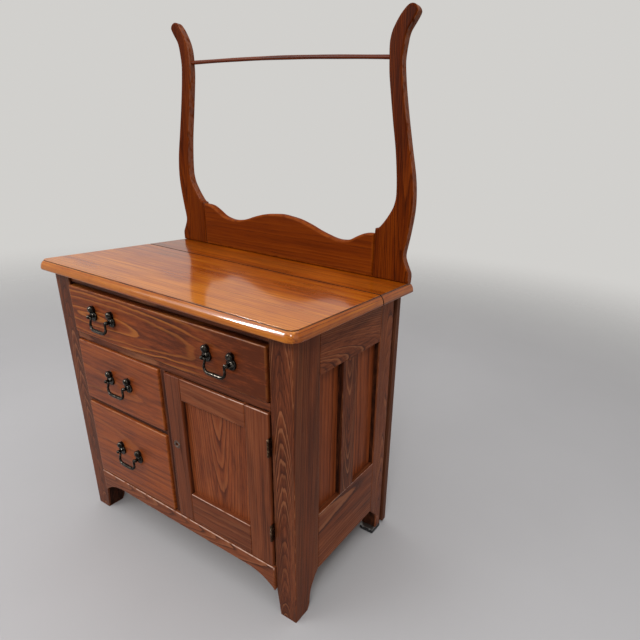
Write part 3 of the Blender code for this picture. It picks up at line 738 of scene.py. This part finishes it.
def board(node, along, out, soft=FRAME_SOFT, wear=-0.3, walls=0.0, crown=0.0, crown_fade=0.0, **finish):
    """A plain board that fills the node's box: arrises worn, walls darkened with painted shade, upper arris
    rubbed pale with a painted highlight.
    """
    bm = set_edge(soften(solid_box(*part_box(node)), soft), wear)
    if walls:
        across = along.cross(out)
        set_walls(bm, (across, -across, along, -along), walls)
    if crown:
        set_crown(bm, out, crown, crown_fade)
    dress(node, bm, along, out, **finish)


def joined(*parts):
    """Several solids as one mesh."""
    made = bmesh.new()
    for part in parts:
        mesh = mesh_of(part, "part")
        made.from_mesh(mesh)
        bpy.data.meshes.remove(mesh)
    return made


def turned(profile, place, steps=40):
    """A shape turned about the line from place towards -Y; profile is (radius, height), top first."""
    bm = bmesh.new()
    verts = [bm.verts.new((radius, -height, 0)) for radius, height in profile]
    chain = [bm.edges.new(pair) for pair in zip(verts, verts[1:])]
    bmesh.ops.spin(bm, geom=verts + chain, cent=(0, 0, 0), axis=(0, 1, 0), angle=2 * math.pi, steps=steps,
                   use_merge=True)
    bmesh.ops.remove_doubles(bm, verts=bm.verts, dist=WELD)
    face_out(bm)
    bmesh.ops.translate(bm, vec=place, verts=bm.verts)
    return bm


def tube(path, radii, side, sides=16):
    """A closed tube along path; side is a direction that the path never runs along."""
    bm = bmesh.new()
    rings = []
    for k, point in enumerate(path):
        run = (path[min(k + 1, len(path) - 1)] - path[max(k - 1, 0)]).normalized()
        u = run.cross(side).normalized()
        v = run.cross(u)
        ring = []
        for i in range(sides):
            angle = 2 * math.pi * i / sides
            ring.append(bm.verts.new(point + radii[k] * (math.cos(angle) * u + math.sin(angle) * v)))
        rings.append(ring)
    bridge(bm, rings)
    bm.faces.new(rings[0])
    bm.faces.new(rings[-1])
    face_out(bm)
    return bm


# The top

# Its moulding: a rounded slope, a narrow ledge and a small step up to the flat
MOULDING_WIDTH = 0.0085
LEDGE_WIDTH = 0.0012
STEP_HEIGHT = 0.0025
SLOPE_BASE = 0.0042
SLOPE_STEPS = 14
SLOPE_LOW = math.radians(4)
SLOPE_HIGH = math.radians(60)
# Wear over the whole slope: partly wear, partly painted light that brightens the nose
SLOPE_RUB_AND_LIGHT = 0.45
# Inset, height and wear of the lower arris, and of the step's foot and head from its corners; wear below 0
# darkens them as grime and painted shade
LOWER_ARRIS = [(0.0030, 0.0, -0.5), (0.0012, 0.0007, -0.3), (0.0003, 0.0018, 0.0)]
STEP_FOOT = [(-0.0005, 0.0001, -0.6), (-0.0002, 0.0003, -1.0)]
STEP_HEAD = [(0.0, -0.0006, -1.0), (0.0003, -0.0001, 0.0), (0.0008, 0.0, 0.0), (WEAR_BAND, 0.0, 0.0)]


def slope_share(curve, angle):
    """How far a sine or cosine has come at an angle of the slope."""
    return (curve(angle) - curve(SLOPE_LOW)) / (curve(SLOPE_HIGH) - curve(SLOPE_LOW))


def moulding_section(thick):
    """Insets and heights of the moulding from below, and the wear or grime of each."""
    depth = MOULDING_WIDTH - LEDGE_WIDTH
    rise = thick - STEP_HEIGHT - SLOPE_BASE
    section = LOWER_ARRIS[:]
    for k in range(SLOPE_STEPS + 1):
        angle = SLOPE_LOW + (SLOPE_HIGH - SLOPE_LOW) * k / SLOPE_STEPS
        inset = depth * slope_share(math.cos, angle)
        section.append((inset, SLOPE_BASE + rise * slope_share(math.sin, angle), SLOPE_RUB_AND_LIGHT))
    for rows, level in ((STEP_FOOT, thick - STEP_HEIGHT), (STEP_HEAD, thick)):
        section += [(MOULDING_WIDTH + inset, level + lift, wear) for inset, lift, wear in rows]
    return section


TOP_CORNER = 0.024
CORNER_STEPS = 14
# The open seam between the boards: its width at the ends, and the worn edge beside it, darkened as grime
# and painted shade
SEAM_LEFT = 0.0014
SEAM_RIGHT = 0.0028
SEAM_WEAR = 0.0035
SEAM_DROP = 0.0010
# How near the flat or the seam its points lie
NEAR = 0.0002


def front_corners(x, front, inset):
    """The rounded front corners, right and left, of the top's outline at an inset."""
    radius = TOP_CORNER - inset
    right = []
    for k in range(CORNER_STEPS + 1):
        angle = math.pi / 2 * k / CORNER_STEPS
        right.append((x - radius + radius * math.cos(angle), front + TOP_CORNER - radius * math.sin(angle)))
    return right + [(-u, v) for u, v in reversed(right)]


def top_board(node, with_corners, **grain):
    """A board of the top, with the moulding on its ends, and on its front when it has corners."""
    low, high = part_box(node)
    thick = high.z - low.z
    bm = bmesh.new()
    edge = edge_layer(bm)
    rings = []
    for inset, rise, wear in moulding_section(thick):
        x = high.x - inset
        outline = [(x, high.y), (x, high.y - SEAM_WEAR)]
        outline += front_corners(x, low.y, inset) if with_corners else [(x, low.y), (-x, low.y)]
        outline += [(-x, high.y - SEAM_WEAR), (-x, high.y)]
        ring = [bm.verts.new((u, v, low.z + rise)) for u, v in outline]
        for vert in ring:
            vert[edge] = wear
        if with_corners and rise > thick - NEAR:
            for vert in (ring[0], ring[-1]):
                vert.co.z -= SEAM_DROP
                vert[edge] = -1.0
        rings.append(ring)
    bridge(bm, rings)
    bm.faces.new(rings[0])
    flat = rings[-1]
    bm.faces.new(flat[1:-1])
    bm.faces.new((flat[0], flat[1], flat[-2], flat[-1]))
    face_out(bm)
    # The seam's walls take the near-black wood: painted shade in the open seam
    seam = 1 if with_corners else -1
    for face in bm.faces:
        face.material_index = 1 if face.normal.y * seam > 0.99 else 0
    for vert in bm.verts:
        if with_corners and vert.co.y > high.y - NEAR:
            share = (vert.co.x - low.x) / (high.x - low.x)
            vert.co.y -= SEAM_LEFT + share**2 * (SEAM_RIGHT - SEAM_LEFT)
    made = dress(node, bm, X, Z, **grain)
    made.data.materials.append(materials["seam_shade_wood"])
    along_ends(made.data, low, high, with_corners)


# Tones of the front moulding, and of the end mouldings, which fades along a run
NOSE_TONE = -0.24
END_TONE = -0.62
END_RUN = 0.19
# Grain of the end mouldings: lean, change upwards, distance of the pith
END_LEAN = 3
END_RISE = 1.5
END_PITH = 0.05
MOULDED = MOULDING_WIDTH - 0.0003


def along_ends(mesh, low, high, with_corners):
    """Turns the grain of the end mouldings along them, and darkens the front moulding and the front part of
    the end mouldings.
    """
    grain = mesh.attributes["grain"].data
    tones = mesh.attributes["tone"].data
    for vert, place, tone in zip(mesh.vertices, grain, tones):
        x, y, z = vert.co
        inset = high.x - abs(x)
        past_corner = not with_corners or TOP_CORNER - inset > low.y + TOP_CORNER - y
        if past_corner and inset < MOULDED:
            place.vector = (y + END_LEAN * x, END_RISE * z, END_PITH + inset)
            if with_corners:
                tone.value += END_TONE * (1 - eased(y, low.y, low.y + END_RUN))
        elif not past_corner and y - low.y < MOULDED:
            tone.value += NOSE_TONE


# The harp

# Levels over which the posts grow fuller above the notch and at the tip, and close again
NOTCH_OPENING = (0.812, 0.852)
TIP_OPENING = (1.13, 1.20)
TIP_CLOSING = (1.212, 1.244)
HARP_TIP = 1.205
HARP_FULLER = 0.0040
TIP_FULLER = {1: 0.0045, -1: 0.001}
TIP_OUTER_SHARE = 0.25
HARP_TONE = {1: -0.16, -1: 0.10}
HARP_WEAR = 0.5
# Wear given to the posts' right sides, which paints them pale: a painted sheen
HARP_SIDE_SHEEN = 1.14
HARP_SEGMENTS = 4
# The lower right end of the backsplash: by how much, along which stretch, above which height
SPLASH_DIP = 0.009
SPLASH_DIPPING = (0.12, 0.23)
SPLASH_FOOT = 0.03
BAR_STEPS = 60
BAR_THICKNESS = 0.94
BAR_UNEVEN = 0.05


def fuller_post(outline):
    """The harp post's outline, fuller on its inner side and towards its tip, which is rubbed round."""
    ways = ways_in(outline, spread_of(1))
    side = 1 if outline[0].x > 0 else -1
    made = []
    for point, (way, _, _) in zip(outline, ways):
        fuller = TIP_FULLER[side] * eased(point.z, *TIP_OPENING)
        if way.y * side > 0:
            fuller += HARP_FULLER * eased(point.z, *NOTCH_OPENING)
        else:
            fuller *= TIP_OUTER_SHARE
        fuller *= 1 - eased(point.z, *TIP_CLOSING)
        made.append(point - X * way.y * fuller)
    return rubbed(made, HARP_TIP)


def dipped_splash(outline):
    """The backsplash's outline, which stands a little lower at its right end."""
    foot = min(point.z for point in outline) + SPLASH_FOOT
    return [
        point - Z * SPLASH_DIP * eased(point.x, *SPLASH_DIPPING) if point.z > foot else point
        for point in outline
    ]


def towel_bar():
    """A slightly bowed and uneven round bar."""
    low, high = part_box("towel_bar")
    radius = (high.y - low.y) / 2
    bow = high.z - low.z - 2 * radius
    path = []
    radii = []
    for k in range(BAR_STEPS + 1):
        u = 2 * k / BAR_STEPS - 1
        path.append(Vector((u * high.x, low.y + radius, low.z + radius + bow * math.cos(u * math.pi / 2))))
        radii.append(radius * (BAR_THICKNESS + BAR_UNEVEN * math.sin(9 * u + 1) * math.cos(4 * u)))
    return tube(path, radii, Y)


def make_harp():
    for side, sign in SIDES:
        node = "harp_post_" + side
        bm = prism_of(node, 1, -1, HARP_SOFT, segments=HARP_SEGMENTS, shape=fuller_post)
        paint_side_sheen(set_edge(bm, HARP_WEAR), X, HARP_SIDE_SHEEN)
        dress(node, bm, Z, -Y, depth=0.05, shift=0.02 * sign, tilt=-0.02, fine=2.0,
              tone=HARP_TONE[sign], fade=-1.1)
    splash = prism_of("backsplash", 1, -1, HARP_SOFT, segments=HARP_SEGMENTS, shape=dipped_splash)
    dress("backsplash", splash, X, -Y, "splash_wood", depth=0.12, shift=-0.05, tilt=0.02)
    dress("towel_bar", towel_bar(), X, -Y, "bar_wood", depth=0.03, tilt=0.01)


# Posts and pads

POST_WEAR = 0.35
FOOT_TAPER_HEIGHT = 0.078
FOOT_TAPER = 0.0105
REBATE_DEPTH = 0.015
REBATE_WIDTH = 0.0175
# How far a cutter reaches past the piece
CUT_PAST = 0.1


def make_posts():
    for side, sign in SIDES:
        node = "front_post_" + side
        low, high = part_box(node)
        bm = prism_of(node, 0, sign, SOFT)
        slice_at(bm, (0, 0, FOOT_TAPER_HEIGHT), Z)
        outer = high.x if sign > 0 else low.x
        for vert in bm.verts:
            if vert.co.z < FOOT_TAPER_HEIGHT:
                share = abs(vert.co.x - outer) / (high.x - low.x)
                vert.co.x += sign * share * FOOT_TAPER * (1 - vert.co.z / FOOT_TAPER_HEIGHT)
        # The walls towards the side panel and the front gap are darkened: painted shade
        set_walls(set_edge(bm, POST_WEAR), (Y, -X * sign))
        # The tone across the post rises towards its outer side, painting its side face lighter as if lit
        # more
        dress(node, bm, Z, -Y, depth=0.030, shift=-0.004 * sign, tilt=0.040, tone=-0.32, shade=5 * sign,
              fine=3.6, sway=0.0050, steep=-0.06)

        node = "rear_post_" + side
        low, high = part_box(node)
        # The wall towards the side panel is darkened: painted shade
        bm = set_walls(set_edge(prism_of(node, 0, -sign, SOFT), POST_WEAR), (-Y,))
        outer = high.x if sign > 0 else low.x
        a, b = sorted((outer - sign * REBATE_DEPTH, outer + sign * CUT_PAST))
        bm = cut(bm, solid_box((a, high.y - REBATE_WIDTH, low.z - CUT_PAST),
                               (b, high.y + CUT_PAST, high.z + CUT_PAST)))
        dress(node, bm, Z, X * sign, depth=0.03, shift=0.01, tilt=0.04, tone=0.08, fine=2.6, sway=0.004)
        make_pad(side)


PAD_SOFT = 0.003
PLATE_THICK = 0.0014
PLATE_MARGIN = 0.0012
PLATE_SOFT = 0.0004
PLATE_NAIL = [(0, 0.0016), (0.0016, 0.0012), (0.0024, 0.0002), (0, 0.0002)]
# Places of two nails, as shares of a width
NAIL_SHARES = (0.25, 0.75)


def make_pad(side):
    """A rubber block under the rear foot, with a nailed steel plate on it."""
    node = "rear_pad_" + side
    low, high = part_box(node)
    plate_low = high.z - PLATE_THICK
    pad = soften(solid_box(low, (high.x, high.y, plate_low)), PAD_SOFT, 4)
    stand_in(node, pad, "rubber")
    margin = Vector((PLATE_MARGIN, PLATE_MARGIN, 0))
    plate = soften(solid_box(Vector((low.x, low.y, plate_low)) + margin, high - margin), PLATE_SOFT, 2)
    nails = []
    for share in NAIL_SHARES:
        spot = (low.x + share * (high.x - low.x), low.y + PLATE_MARGIN, high.z - PLATE_THICK / 2)
        nails.append(turned(PLATE_NAIL, spot, 16))
    add_piece("rear_plate_" + side, joined(plate, *nails), "plate_steel", body_of[node], "dark_metal")


# Sides, back and front frame

def make_sides():
    for side, sign in SIDES:
        out = X * sign
        # Walls beside the panels are darkened as painted shade; the bottom rail's upper arris is rubbed
        # pale with a painted highlight
        board("side_top_rail_" + side, Y, out, walls=-1, depth=0.05, shift=0.045, tilt=0.11, tone=0.08,
              fine=1.8)
        board("side_bottom_rail_" + side, Y, out, walls=-0.4, crown=1.4, depth=0.10, shift=-0.05, tilt=0.03,
              tone=0.05)
        board("side_muntin_" + side, Z, out, walls=-1, depth=0.03, tilt=-0.06, tone=-0.24, fine=2.4)
        # The panels' borders are darkened: painted shade where they sit in the frame
        for panel, shift, tilt, tone in (("front", 0.16, 0.01, 0.02), ("rear", 0.12, -0.01, 0.04)):
            board(f"side_{panel}_panel_{side}", Z, out, PANEL_SOFT, -1, depth=0.30, shift=shift, tilt=tilt,
                  tone=tone)


BACK_PLANKS = 6
PLANK_GAP = 0.0012
BACK_NAIL = [(0, 0.0009), (0.0018, 0.0007), (0.0026, 0), (0, 0)]
NAIL_LIFT = 0.0002
NAIL_FROM_TOP = 0.02
NAIL_FROM_FOOT = 0.25


def make_back():
    """The back: upright planks with their nails."""
    node = "back_board"
    low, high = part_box(node)
    outline = smoothed(cap_outline(node, 1, 1))
    step = (high.x - low.x) / BACK_PLANKS
    planks = []
    nails = []
    for k in range(BACK_PLANKS):
        bm = solid_slab(outline, low.y, high.y)
        for joint, way in ((k, -1), (k + 1, 1)):
            if 0 < joint < BACK_PLANKS:
                slice_at(bm, (low.x + joint * step - way * PLANK_GAP / 2, 0, 0), X * way, clear=True)
                bmesh.ops.holes_fill(bm, edges=[e for e in bm.edges if e.is_boundary])
        face_out(bm)
        set_edge(soften(bm, SOFT), 0)
        set_grain(bm, Z, Y, depth=0.05, tilt=0.03 * (-1) ** k, seed=k, tone=0.12 * (k % 3 - 1))
        planks.append(bm)
        for share in NAIL_SHARES:
            for z in (high.z - NAIL_FROM_TOP, low.z + NAIL_FROM_FOOT):
                spot = Vector((low.x + (k + share) * step, high.y + NAIL_LIFT, z))
                head = turned(BACK_NAIL, spot, 14)
                bmesh.ops.scale(head, vec=(1, -1, 1), space=Matrix.Translation(-spot), verts=head.verts)
                bmesh.ops.reverse_faces(head, faces=head.faces)
                nails.append(head)
    stand_in(node, joined(*planks), "back_wood")
    add_piece("back_nails", joined(*nails), "dark_metal", body_of[node], "dark_metal")


APRON_WEAR = 0.6


def make_front_frame():
    # The rails, partition and shelf sit back between drawers and door: their tone and walls are darkened as
    # painted shade
    for node in ("front_top_rail", "divider_rail"):
        board(node, X, -Y, walls=-1, depth=0.06, tilt=0.02, tone=-0.3)
    for node, along, out in (("partition", Z, X), ("short_drawer_shelf", X, Z)):
        board(node, along, out, walls=-0.6, depth=0.05, tilt=0.02, tone=-0.3)
    for side, _ in SIDES:
        board("drawer_runner_" + side, Y, Z, depth=0.05)
    bottom = prism_of("cupboard_bottom", 2, 1, SOFT, curve=False)
    dress("cupboard_bottom", bottom, X, Z, depth=0.08, shift=0.1)
    # The apron's upper arris is rubbed pale: worn wood with a painted highlight
    apron = set_crown(set_edge(prism_of("front_apron", 1, -1, FRONT_SOFT), APRON_WEAR), -Y, 1.4)
    dress("front_apron", apron, X, -Y, "frame_wood", depth=0.05, shift=-0.035, tilt=0.08, tone=0.36,
          fine=1.4, sway=0.003)


# Drawers and pulls

FRONT_WEAR = 0.55
BOX_WALL = 0.010
BOX_BOTTOM = 0.006
# How much lower the front and back walls of a box are
BOX_DROP = 0.004


def make_drawer(name, **finish):
    """A drawer front, and its box of four walls and a bottom."""
    # Walls darkened as painted shade in the gaps; upper arris rubbed pale with a painted highlight
    board(name + "_front", X, -Y, FRONT_SOFT, FRONT_WEAR, walls=-0.5, crown=1.15, **finish)
    node = name + "_box"
    low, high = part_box(node)
    wall = Vector((BOX_WALL, BOX_WALL, 0))
    inner_low, inner_high = low + wall, high - wall
    parts = [
        (low, (inner_low.x, high.y, high.z), Y, X),
        ((inner_high.x, low.y, low.z), high, Y, X),
        ((inner_low.x, low.y, low.z), (inner_high.x, inner_low.y, high.z - BOX_DROP), X, Y),
        ((inner_low.x, inner_high.y, low.z), (inner_high.x, high.y, high.z - BOX_DROP), X, Y),
        (inner_low, (inner_high.x, inner_high.y, low.z + BOX_BOTTOM), X, Z),
    ]
    boards = []
    for k, (corner, other, along, out) in enumerate(parts):
        bm = soften(solid_box(corner, other), BOX_SOFT, 2)
        boards.append(set_grain(bm, along, out, 0.08, 0.03, 0.02, seed=k, tone=0.08 * (k % 2)))
    stand_in(node, joined(*boards), "box_wood")


MOUNT_RADIUS = 0.0120
MOUNT_BALL = 0.0046
MOUNT_STAND = 0.0125
BOSS_RISE = 0.0155
MOUNT_PROFILE = [
    (0, 0.0171), (0.0018, 0.0167), (0.0033, 0.0157), (0.0043, 0.0141), (MOUNT_BALL, MOUNT_STAND),
    (0.0043, 0.0109), (0.0036, 0.0096), (0.0031, 0.0082), (0.0031, 0.0066), (0.0036, 0.0052),
    (0.0048, 0.0040), (0.0064, 0.0032), (0.0082, 0.0029), (0.0094, 0.0031), (0.0102, 0.0037),
    (0.0110, 0.0038), (0.0116, 0.0033), (0.0119, 0.0025), (MOUNT_RADIUS, 0.0015), (MOUNT_RADIUS, 0), (0, 0),
]
BOSS_PROFILE = [
    (0, 0.0112), (0.0017, 0.0111), (0.0035, 0.0108), (0.0052, 0.0101), (0.0066, 0.0091), (0.0076, 0.0079),
    (0.0084, 0.0064), (0.0086, 0.0049), (0.0083, 0.0036), (0.0078, 0.0025), (0.0080, 0.0012),
    (0.0083, 0.0002), (0, 0.0002),
]
BAIL_DROP = 0.0272
BAIL_PIN = 0.0015
BAIL_RADIUS = 0.0025
BAIL_GRIP = 0.0041
BAIL_STEPS = 4
RUNNING_GAP = 0.0004


def make_pull(name):
    """Two turned mounts, each with a boss above it, and the bail between them."""
    centres = []
    for side, _ in SIDES:
        node = f"{name}_{side}_mount"
        low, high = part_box(node)
        at = Vector(((low.x + high.x) / 2, high.y, low.z + MOUNT_RADIUS))
        centres.append(at)
        mount = joined(turned(MOUNT_PROFILE, at), turned(BOSS_PROFILE, at + Z * BOSS_RISE))
        stand_in(node, mount, "dark_metal", sharp=50)
    middle = (centres[0] + centres[1]) / 2 - Y * MOUNT_STAND
    spacing = centres[1].x - centres[0].x
    leg = spacing / 2 - MOUNT_BALL - RUNNING_GAP - BAIL_RADIUS
    half = [
        (leg + 0.0050, 0, 0, BAIL_PIN),
        (leg + 0.0021, 0, 0, BAIL_PIN),
        (leg + 0.0006, 0, -0.0008, BAIL_RADIUS * 0.85),
        (leg, -0.0002, -0.0040, BAIL_RADIUS),
        (leg + 0.0018, -0.0010, -0.45 * BAIL_DROP, BAIL_RADIUS),
        (leg + 0.0020, -0.0015, -0.70 * BAIL_DROP, BAIL_RADIUS * 1.1),
        (leg - 0.0014, -0.0019, -0.90 * BAIL_DROP, BAIL_RADIUS * 1.25),
        (leg - 0.0070, -0.0023, -0.99 * BAIL_DROP, BAIL_GRIP * 0.9),
        (leg * 0.35, -0.0024, -BAIL_DROP, BAIL_GRIP),
    ]
    points = half + [(-u, v, w, r) for u, v, w, r in reversed(half)]
    smooth = curved([Vector(point) for point in points], BAIL_STEPS)
    bail = tube([middle + p.xyz for p in smooth], [p.w for p in smooth], Y, 14)
    stand_in(name + "_bail", bail, "dark_metal", sharp=60)


# The door and its hinges

DOOR_WEAR = 0.3
# Darkening of the left stile's sides in the gaps: painted shade
STILE_SHADE = -0.8
KEY_HOLE = 0.0042
KEY_DEPTH = 0.003
# Room around the keyhole ring in its seat, and how far its cutters stand out
KEY_ROOM = 0.0002
KEY_PAST = 0.01


def drill(radius, depth, place):
    """A round cutter that goes a depth into the face at place."""
    return turned([(0, KEY_PAST), (radius, KEY_PAST), (radius, -depth), (0, -depth)], place)


def make_door():
    finish = dict(soft=DOOR_SOFT, wear=DOOR_WEAR, look="quiet_frame", tilt=0.02)
    # Walls darkened as painted shade in the gaps; upper arrises rubbed pale with a painted highlight,
    # fading to the left on the top rail
    board("door_right_stile", Z, -Y, walls=-1, crown=1.5, depth=0.07, shift=0.05, tone=-0.06, fine=1.6,
          **finish)
    board("door_top_rail", X, -Y, walls=-0.8, crown=1.5, crown_fade=2.2, depth=0.08, shift=0.03, tone=0.22,
          **finish)
    board("door_bottom_rail", X, -Y, crown=1.35, depth=0.08, shift=-0.03, **finish)
    # The panel's border is darkened: painted shade where it sits in the frame
    board("door_panel", Z, -Y, PANEL_SOFT, -1, depth=0.034, shift=0.004, tilt=-0.085)
    stile = soften(solid_box(*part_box("door_left_stile")), DOOR_SOFT)
    low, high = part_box("keyhole_ring")
    centre = Vector(((low.x + high.x) / 2, high.y, (low.z + high.z) / 2))
    ring = (high.x - low.x) / 2
    stile = cut(stile, drill(ring + KEY_ROOM, 0, centre), drill(KEY_HOLE, KEY_DEPTH, centre))
    set_walls(set_edge(stile, DOOR_WEAR), (X, -X), STILE_SHADE)
    dress("door_left_stile", stile, Z, -Y, "quiet_frame", depth=0.07, shift=-0.04, tilt=0.015, tone=-0.12,
          fine=1.4)
    rim = high.y - low.y
    profile = [
        (KEY_HOLE, rim * 0.75), (KEY_HOLE + 0.0004, rim), (KEY_HOLE + 0.0014, rim * 1.02),
        (ring - 0.0022, rim * 0.96), (ring - 0.0010, rim), (ring - 0.0003, rim * 0.9), (ring, rim * 0.6),
        (ring, 0), (KEY_HOLE, 0), (KEY_HOLE, rim * 0.75),
    ]
    stand_in("keyhole_ring", turned(profile, centre), "old_brass")


BARREL = 0.0027
KNUCKLES = 5
KNUCKLE_GAP = 0.0001
KNUCKLE_SOFT = 0.0003
# Height and radius of the pin's ends, from inside the barrel outwards
PIN_RISE = 0.0015
PIN_END = [(-0.001, 0.0016), (0, 0.0016), (0.0006, 0.0015), (0.0012, 0.0010), (PIN_RISE, 0.0003)]
LEAF = 0.0008
LEAF_SOFT = 0.0002
# How far a leaf stands off the axis, and how much shorter it is at each end
LEAF_ASIDE = 0.0002
LEAF_BEHIND = 0.0015
LEAF_SHORT = 0.0004


def make_hinges():
    """Butt hinges: leaves in the door's gap, knuckles in turn on frame and door, and a pin."""
    for name in ("upper_hinge", "lower_hinge"):
        frame_node, door_node = name + "_frame_leaf", name + "_door_leaf"
        low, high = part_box(frame_node)
        axis = Vector(((low.x + high.x) / 2, low.y + (high.x - low.x) / 2, 0))
        step = (high.z - low.z - 2 * PIN_RISE) / KNUCKLES
        parts = {frame_node: [], door_node: []}
        for k in range(KNUCKLES):
            a = low.z + PIN_RISE + k * step + KNUCKLE_GAP
            b = a + step - 2 * KNUCKLE_GAP
            levels = [a, a + KNUCKLE_SOFT, b - KNUCKLE_SOFT, b]
            radii = [BARREL - KNUCKLE_SOFT, BARREL, BARREL, BARREL - KNUCKLE_SOFT]
            knuckle = tube([axis + Z * z for z in levels], radii, X, 20)
            parts[door_node if k % 2 else frame_node].append(knuckle)
        for z, way in ((low.z + PIN_RISE, -1), (high.z - PIN_RISE, 1)):
            path = [axis + Z * (z + way * rise) for rise, _ in PIN_END]
            parts[frame_node].append(tube(path, [radius for _, radius in PIN_END], X))
        for node, side in ((frame_node, 1), (door_node, -1)):
            inner = axis.x + side * LEAF_ASIDE
            a, b = sorted((inner, inner + side * LEAF))
            corner = (a, axis.y + LEAF_BEHIND, low.z + LEAF_SHORT)
            leaf = solid_box(corner, (b, high.y, high.z - LEAF_SHORT))
            parts[node].append(soften(leaf, LEAF_SOFT, 2))
            stand_in(node, joined(*parts[node]), "hinge_metal")


# The front board is lighter, more so towards its front, and the back board darker: painted light and shade,
# the front lit more than the back beside the backsplash
top_board("top_front_board", True, depth=0.11, shift=0.16, tilt=0.010, tone=0.35, shade=2.2)
top_board("top_back_board", False, depth=0.09, shift=-0.11, tilt=-0.012, tone=-0.28)
make_harp()
make_posts()
make_sides()
make_back()
make_front_frame()
make_drawer("long_drawer", depth=0.03, shift=0.004, tilt=0.13, tone=-0.18, fade=-1.3)
make_drawer("upper_drawer", look="quiet_front", depth=0.06, shift=0.02, tilt=0.05, tone=0.1)
make_drawer("lower_drawer", look="quiet_front", depth=0.06, shift=-0.03, tilt=0.04, tone=0.2)
make_door()
make_hinges()
for pull in ("long_left_pull", "long_right_pull", "upper_pull", "lower_pull"):
    make_pull(pull)


# Stage, light and camera

FLOOR_SIZE = 9.0
FLOOR_COLOUR = (0.475, 0.466, 0.474)
FLOOR_MOTTLE = 0.94
# Distances from the object over which the floor fades away
FLOOR_FADE = (1.4, 4.2)
BACKDROP_COLOUR = (0.64, 0.63, 0.61)


def make_floor():
    """A pale floor that fades into the backdrop far from the object."""
    bm = bmesh.new()
    bmesh.ops.create_grid(bm, x_segments=8, y_segments=8, size=FLOOR_SIZE / 2)
    g = Graph(bpy.data.materials.new("floor"))
    place = g.add("TexCoord", out="Object")
    tint = rgb(*(c * FLOOR_MOTTLE for c in FLOOR_COLOUR))
    colour = g.mix(g.noise(place, 3, 3), rgb(*FLOOR_COLOUR), tint)
    g.finish(Base_Color=colour, Roughness=0.6, Specular_IOR_Level=0.05)
    clear = g.add("BsdfTransparent")
    fade = g.add("MixShader", g.span(g.length(place), *FLOOR_FADE), g.shader.outputs[0], clear)
    g.plug(g.tree.nodes["Material Output"].inputs["Surface"], fade)
    floor = new_object("floor", mesh_of(bm, "floor"))
    floor.data.materials.append(g.owner)


WORLD_COLOUR = (1.0, 0.99, 0.97)
WORLD_LIGHT = 0.30


def make_world():
    """Even light, and the backdrop's colour where the camera or a reflection sees it."""
    world = bpy.data.worlds.new("studio")
    bpy.context.scene.world = world
    g = Graph(world)
    g.tree.nodes.clear()
    light = g.add("Background", rgb(*WORLD_COLOUR), WORLD_LIGHT)
    seen = g.add("Background", rgb(*BACKDROP_COLOUR))
    rays = [g.add("LightPath", out=ray) for ray in ("Is Camera Ray", "Is Glossy Ray")]
    either = g.math("MAXIMUM", *rays)
    output = g.tree.nodes.new("ShaderNodeOutputWorld")
    g.plug(output.inputs["Surface"], g.add("MixShader", either, light, seen))


def area_light(name, place, target, size, power):
    data = bpy.data.lights.new(name, "AREA")
    data.shape = "RECTANGLE"
    data.size, data.size_y = size
    data.energy = power
    made = new_object(name, data)
    made.location = place
    made.rotation_euler = (Vector(target) - Vector(place)).to_track_quat("-Z", "Y").to_euler()
    return made


def make_lights():
    area_light("ceiling", (-0.4, -0.7, 3.0), (-0.4, -0.7, 0), (4.6, 4.6), 102)
    area_light("front_left", (-2.0, -2.4, 2.2), (0, 0, 0.5), (1.8, 1.8), 23)
    area_light("right", (2.6, -0.9, 1.7), (0.2, 0, 0.6), (1.8, 1.8), 6)
    window = area_light("window", (-1.30, -1.74, 1.69), (0.30, -0.21, 0.69), (0.23, 0.8), 64)
    window.visible_diffuse = False
    area_light("lamp", (1.18, -1.65, 2.05), (0.37, -0.2, 0.69), (0.45, 0.45), 14)


CAMERA_PLACE = (0.8567, -0.7687, 0.9764)
CAMERA_TURN = math.radians(28.21)
CAMERA_TILT = math.radians(68.23)
CAMERA_ROLL = math.radians(3.876)
LENS = 27.12
SHIFT = (-0.1105, 0.0355)


def make_camera():
    data = bpy.data.cameras.new("camera")
    data.lens = LENS
    data.sensor_width = 36
    data.shift_x, data.shift_y = SHIFT
    camera = new_object("camera", data)
    turn = Matrix.Rotation(CAMERA_TURN, 3, "Z") @ Matrix.Rotation(CAMERA_TILT, 3, "X")
    camera.rotation_euler = (turn @ Matrix.Rotation(CAMERA_ROLL, 3, "Z")).to_euler()
    camera.location = CAMERA_PLACE
    bpy.context.scene.camera = camera


make_floor()
make_world()
make_lights()
make_camera()
bpy.context.scene.view_settings.view_transform = "Standard"
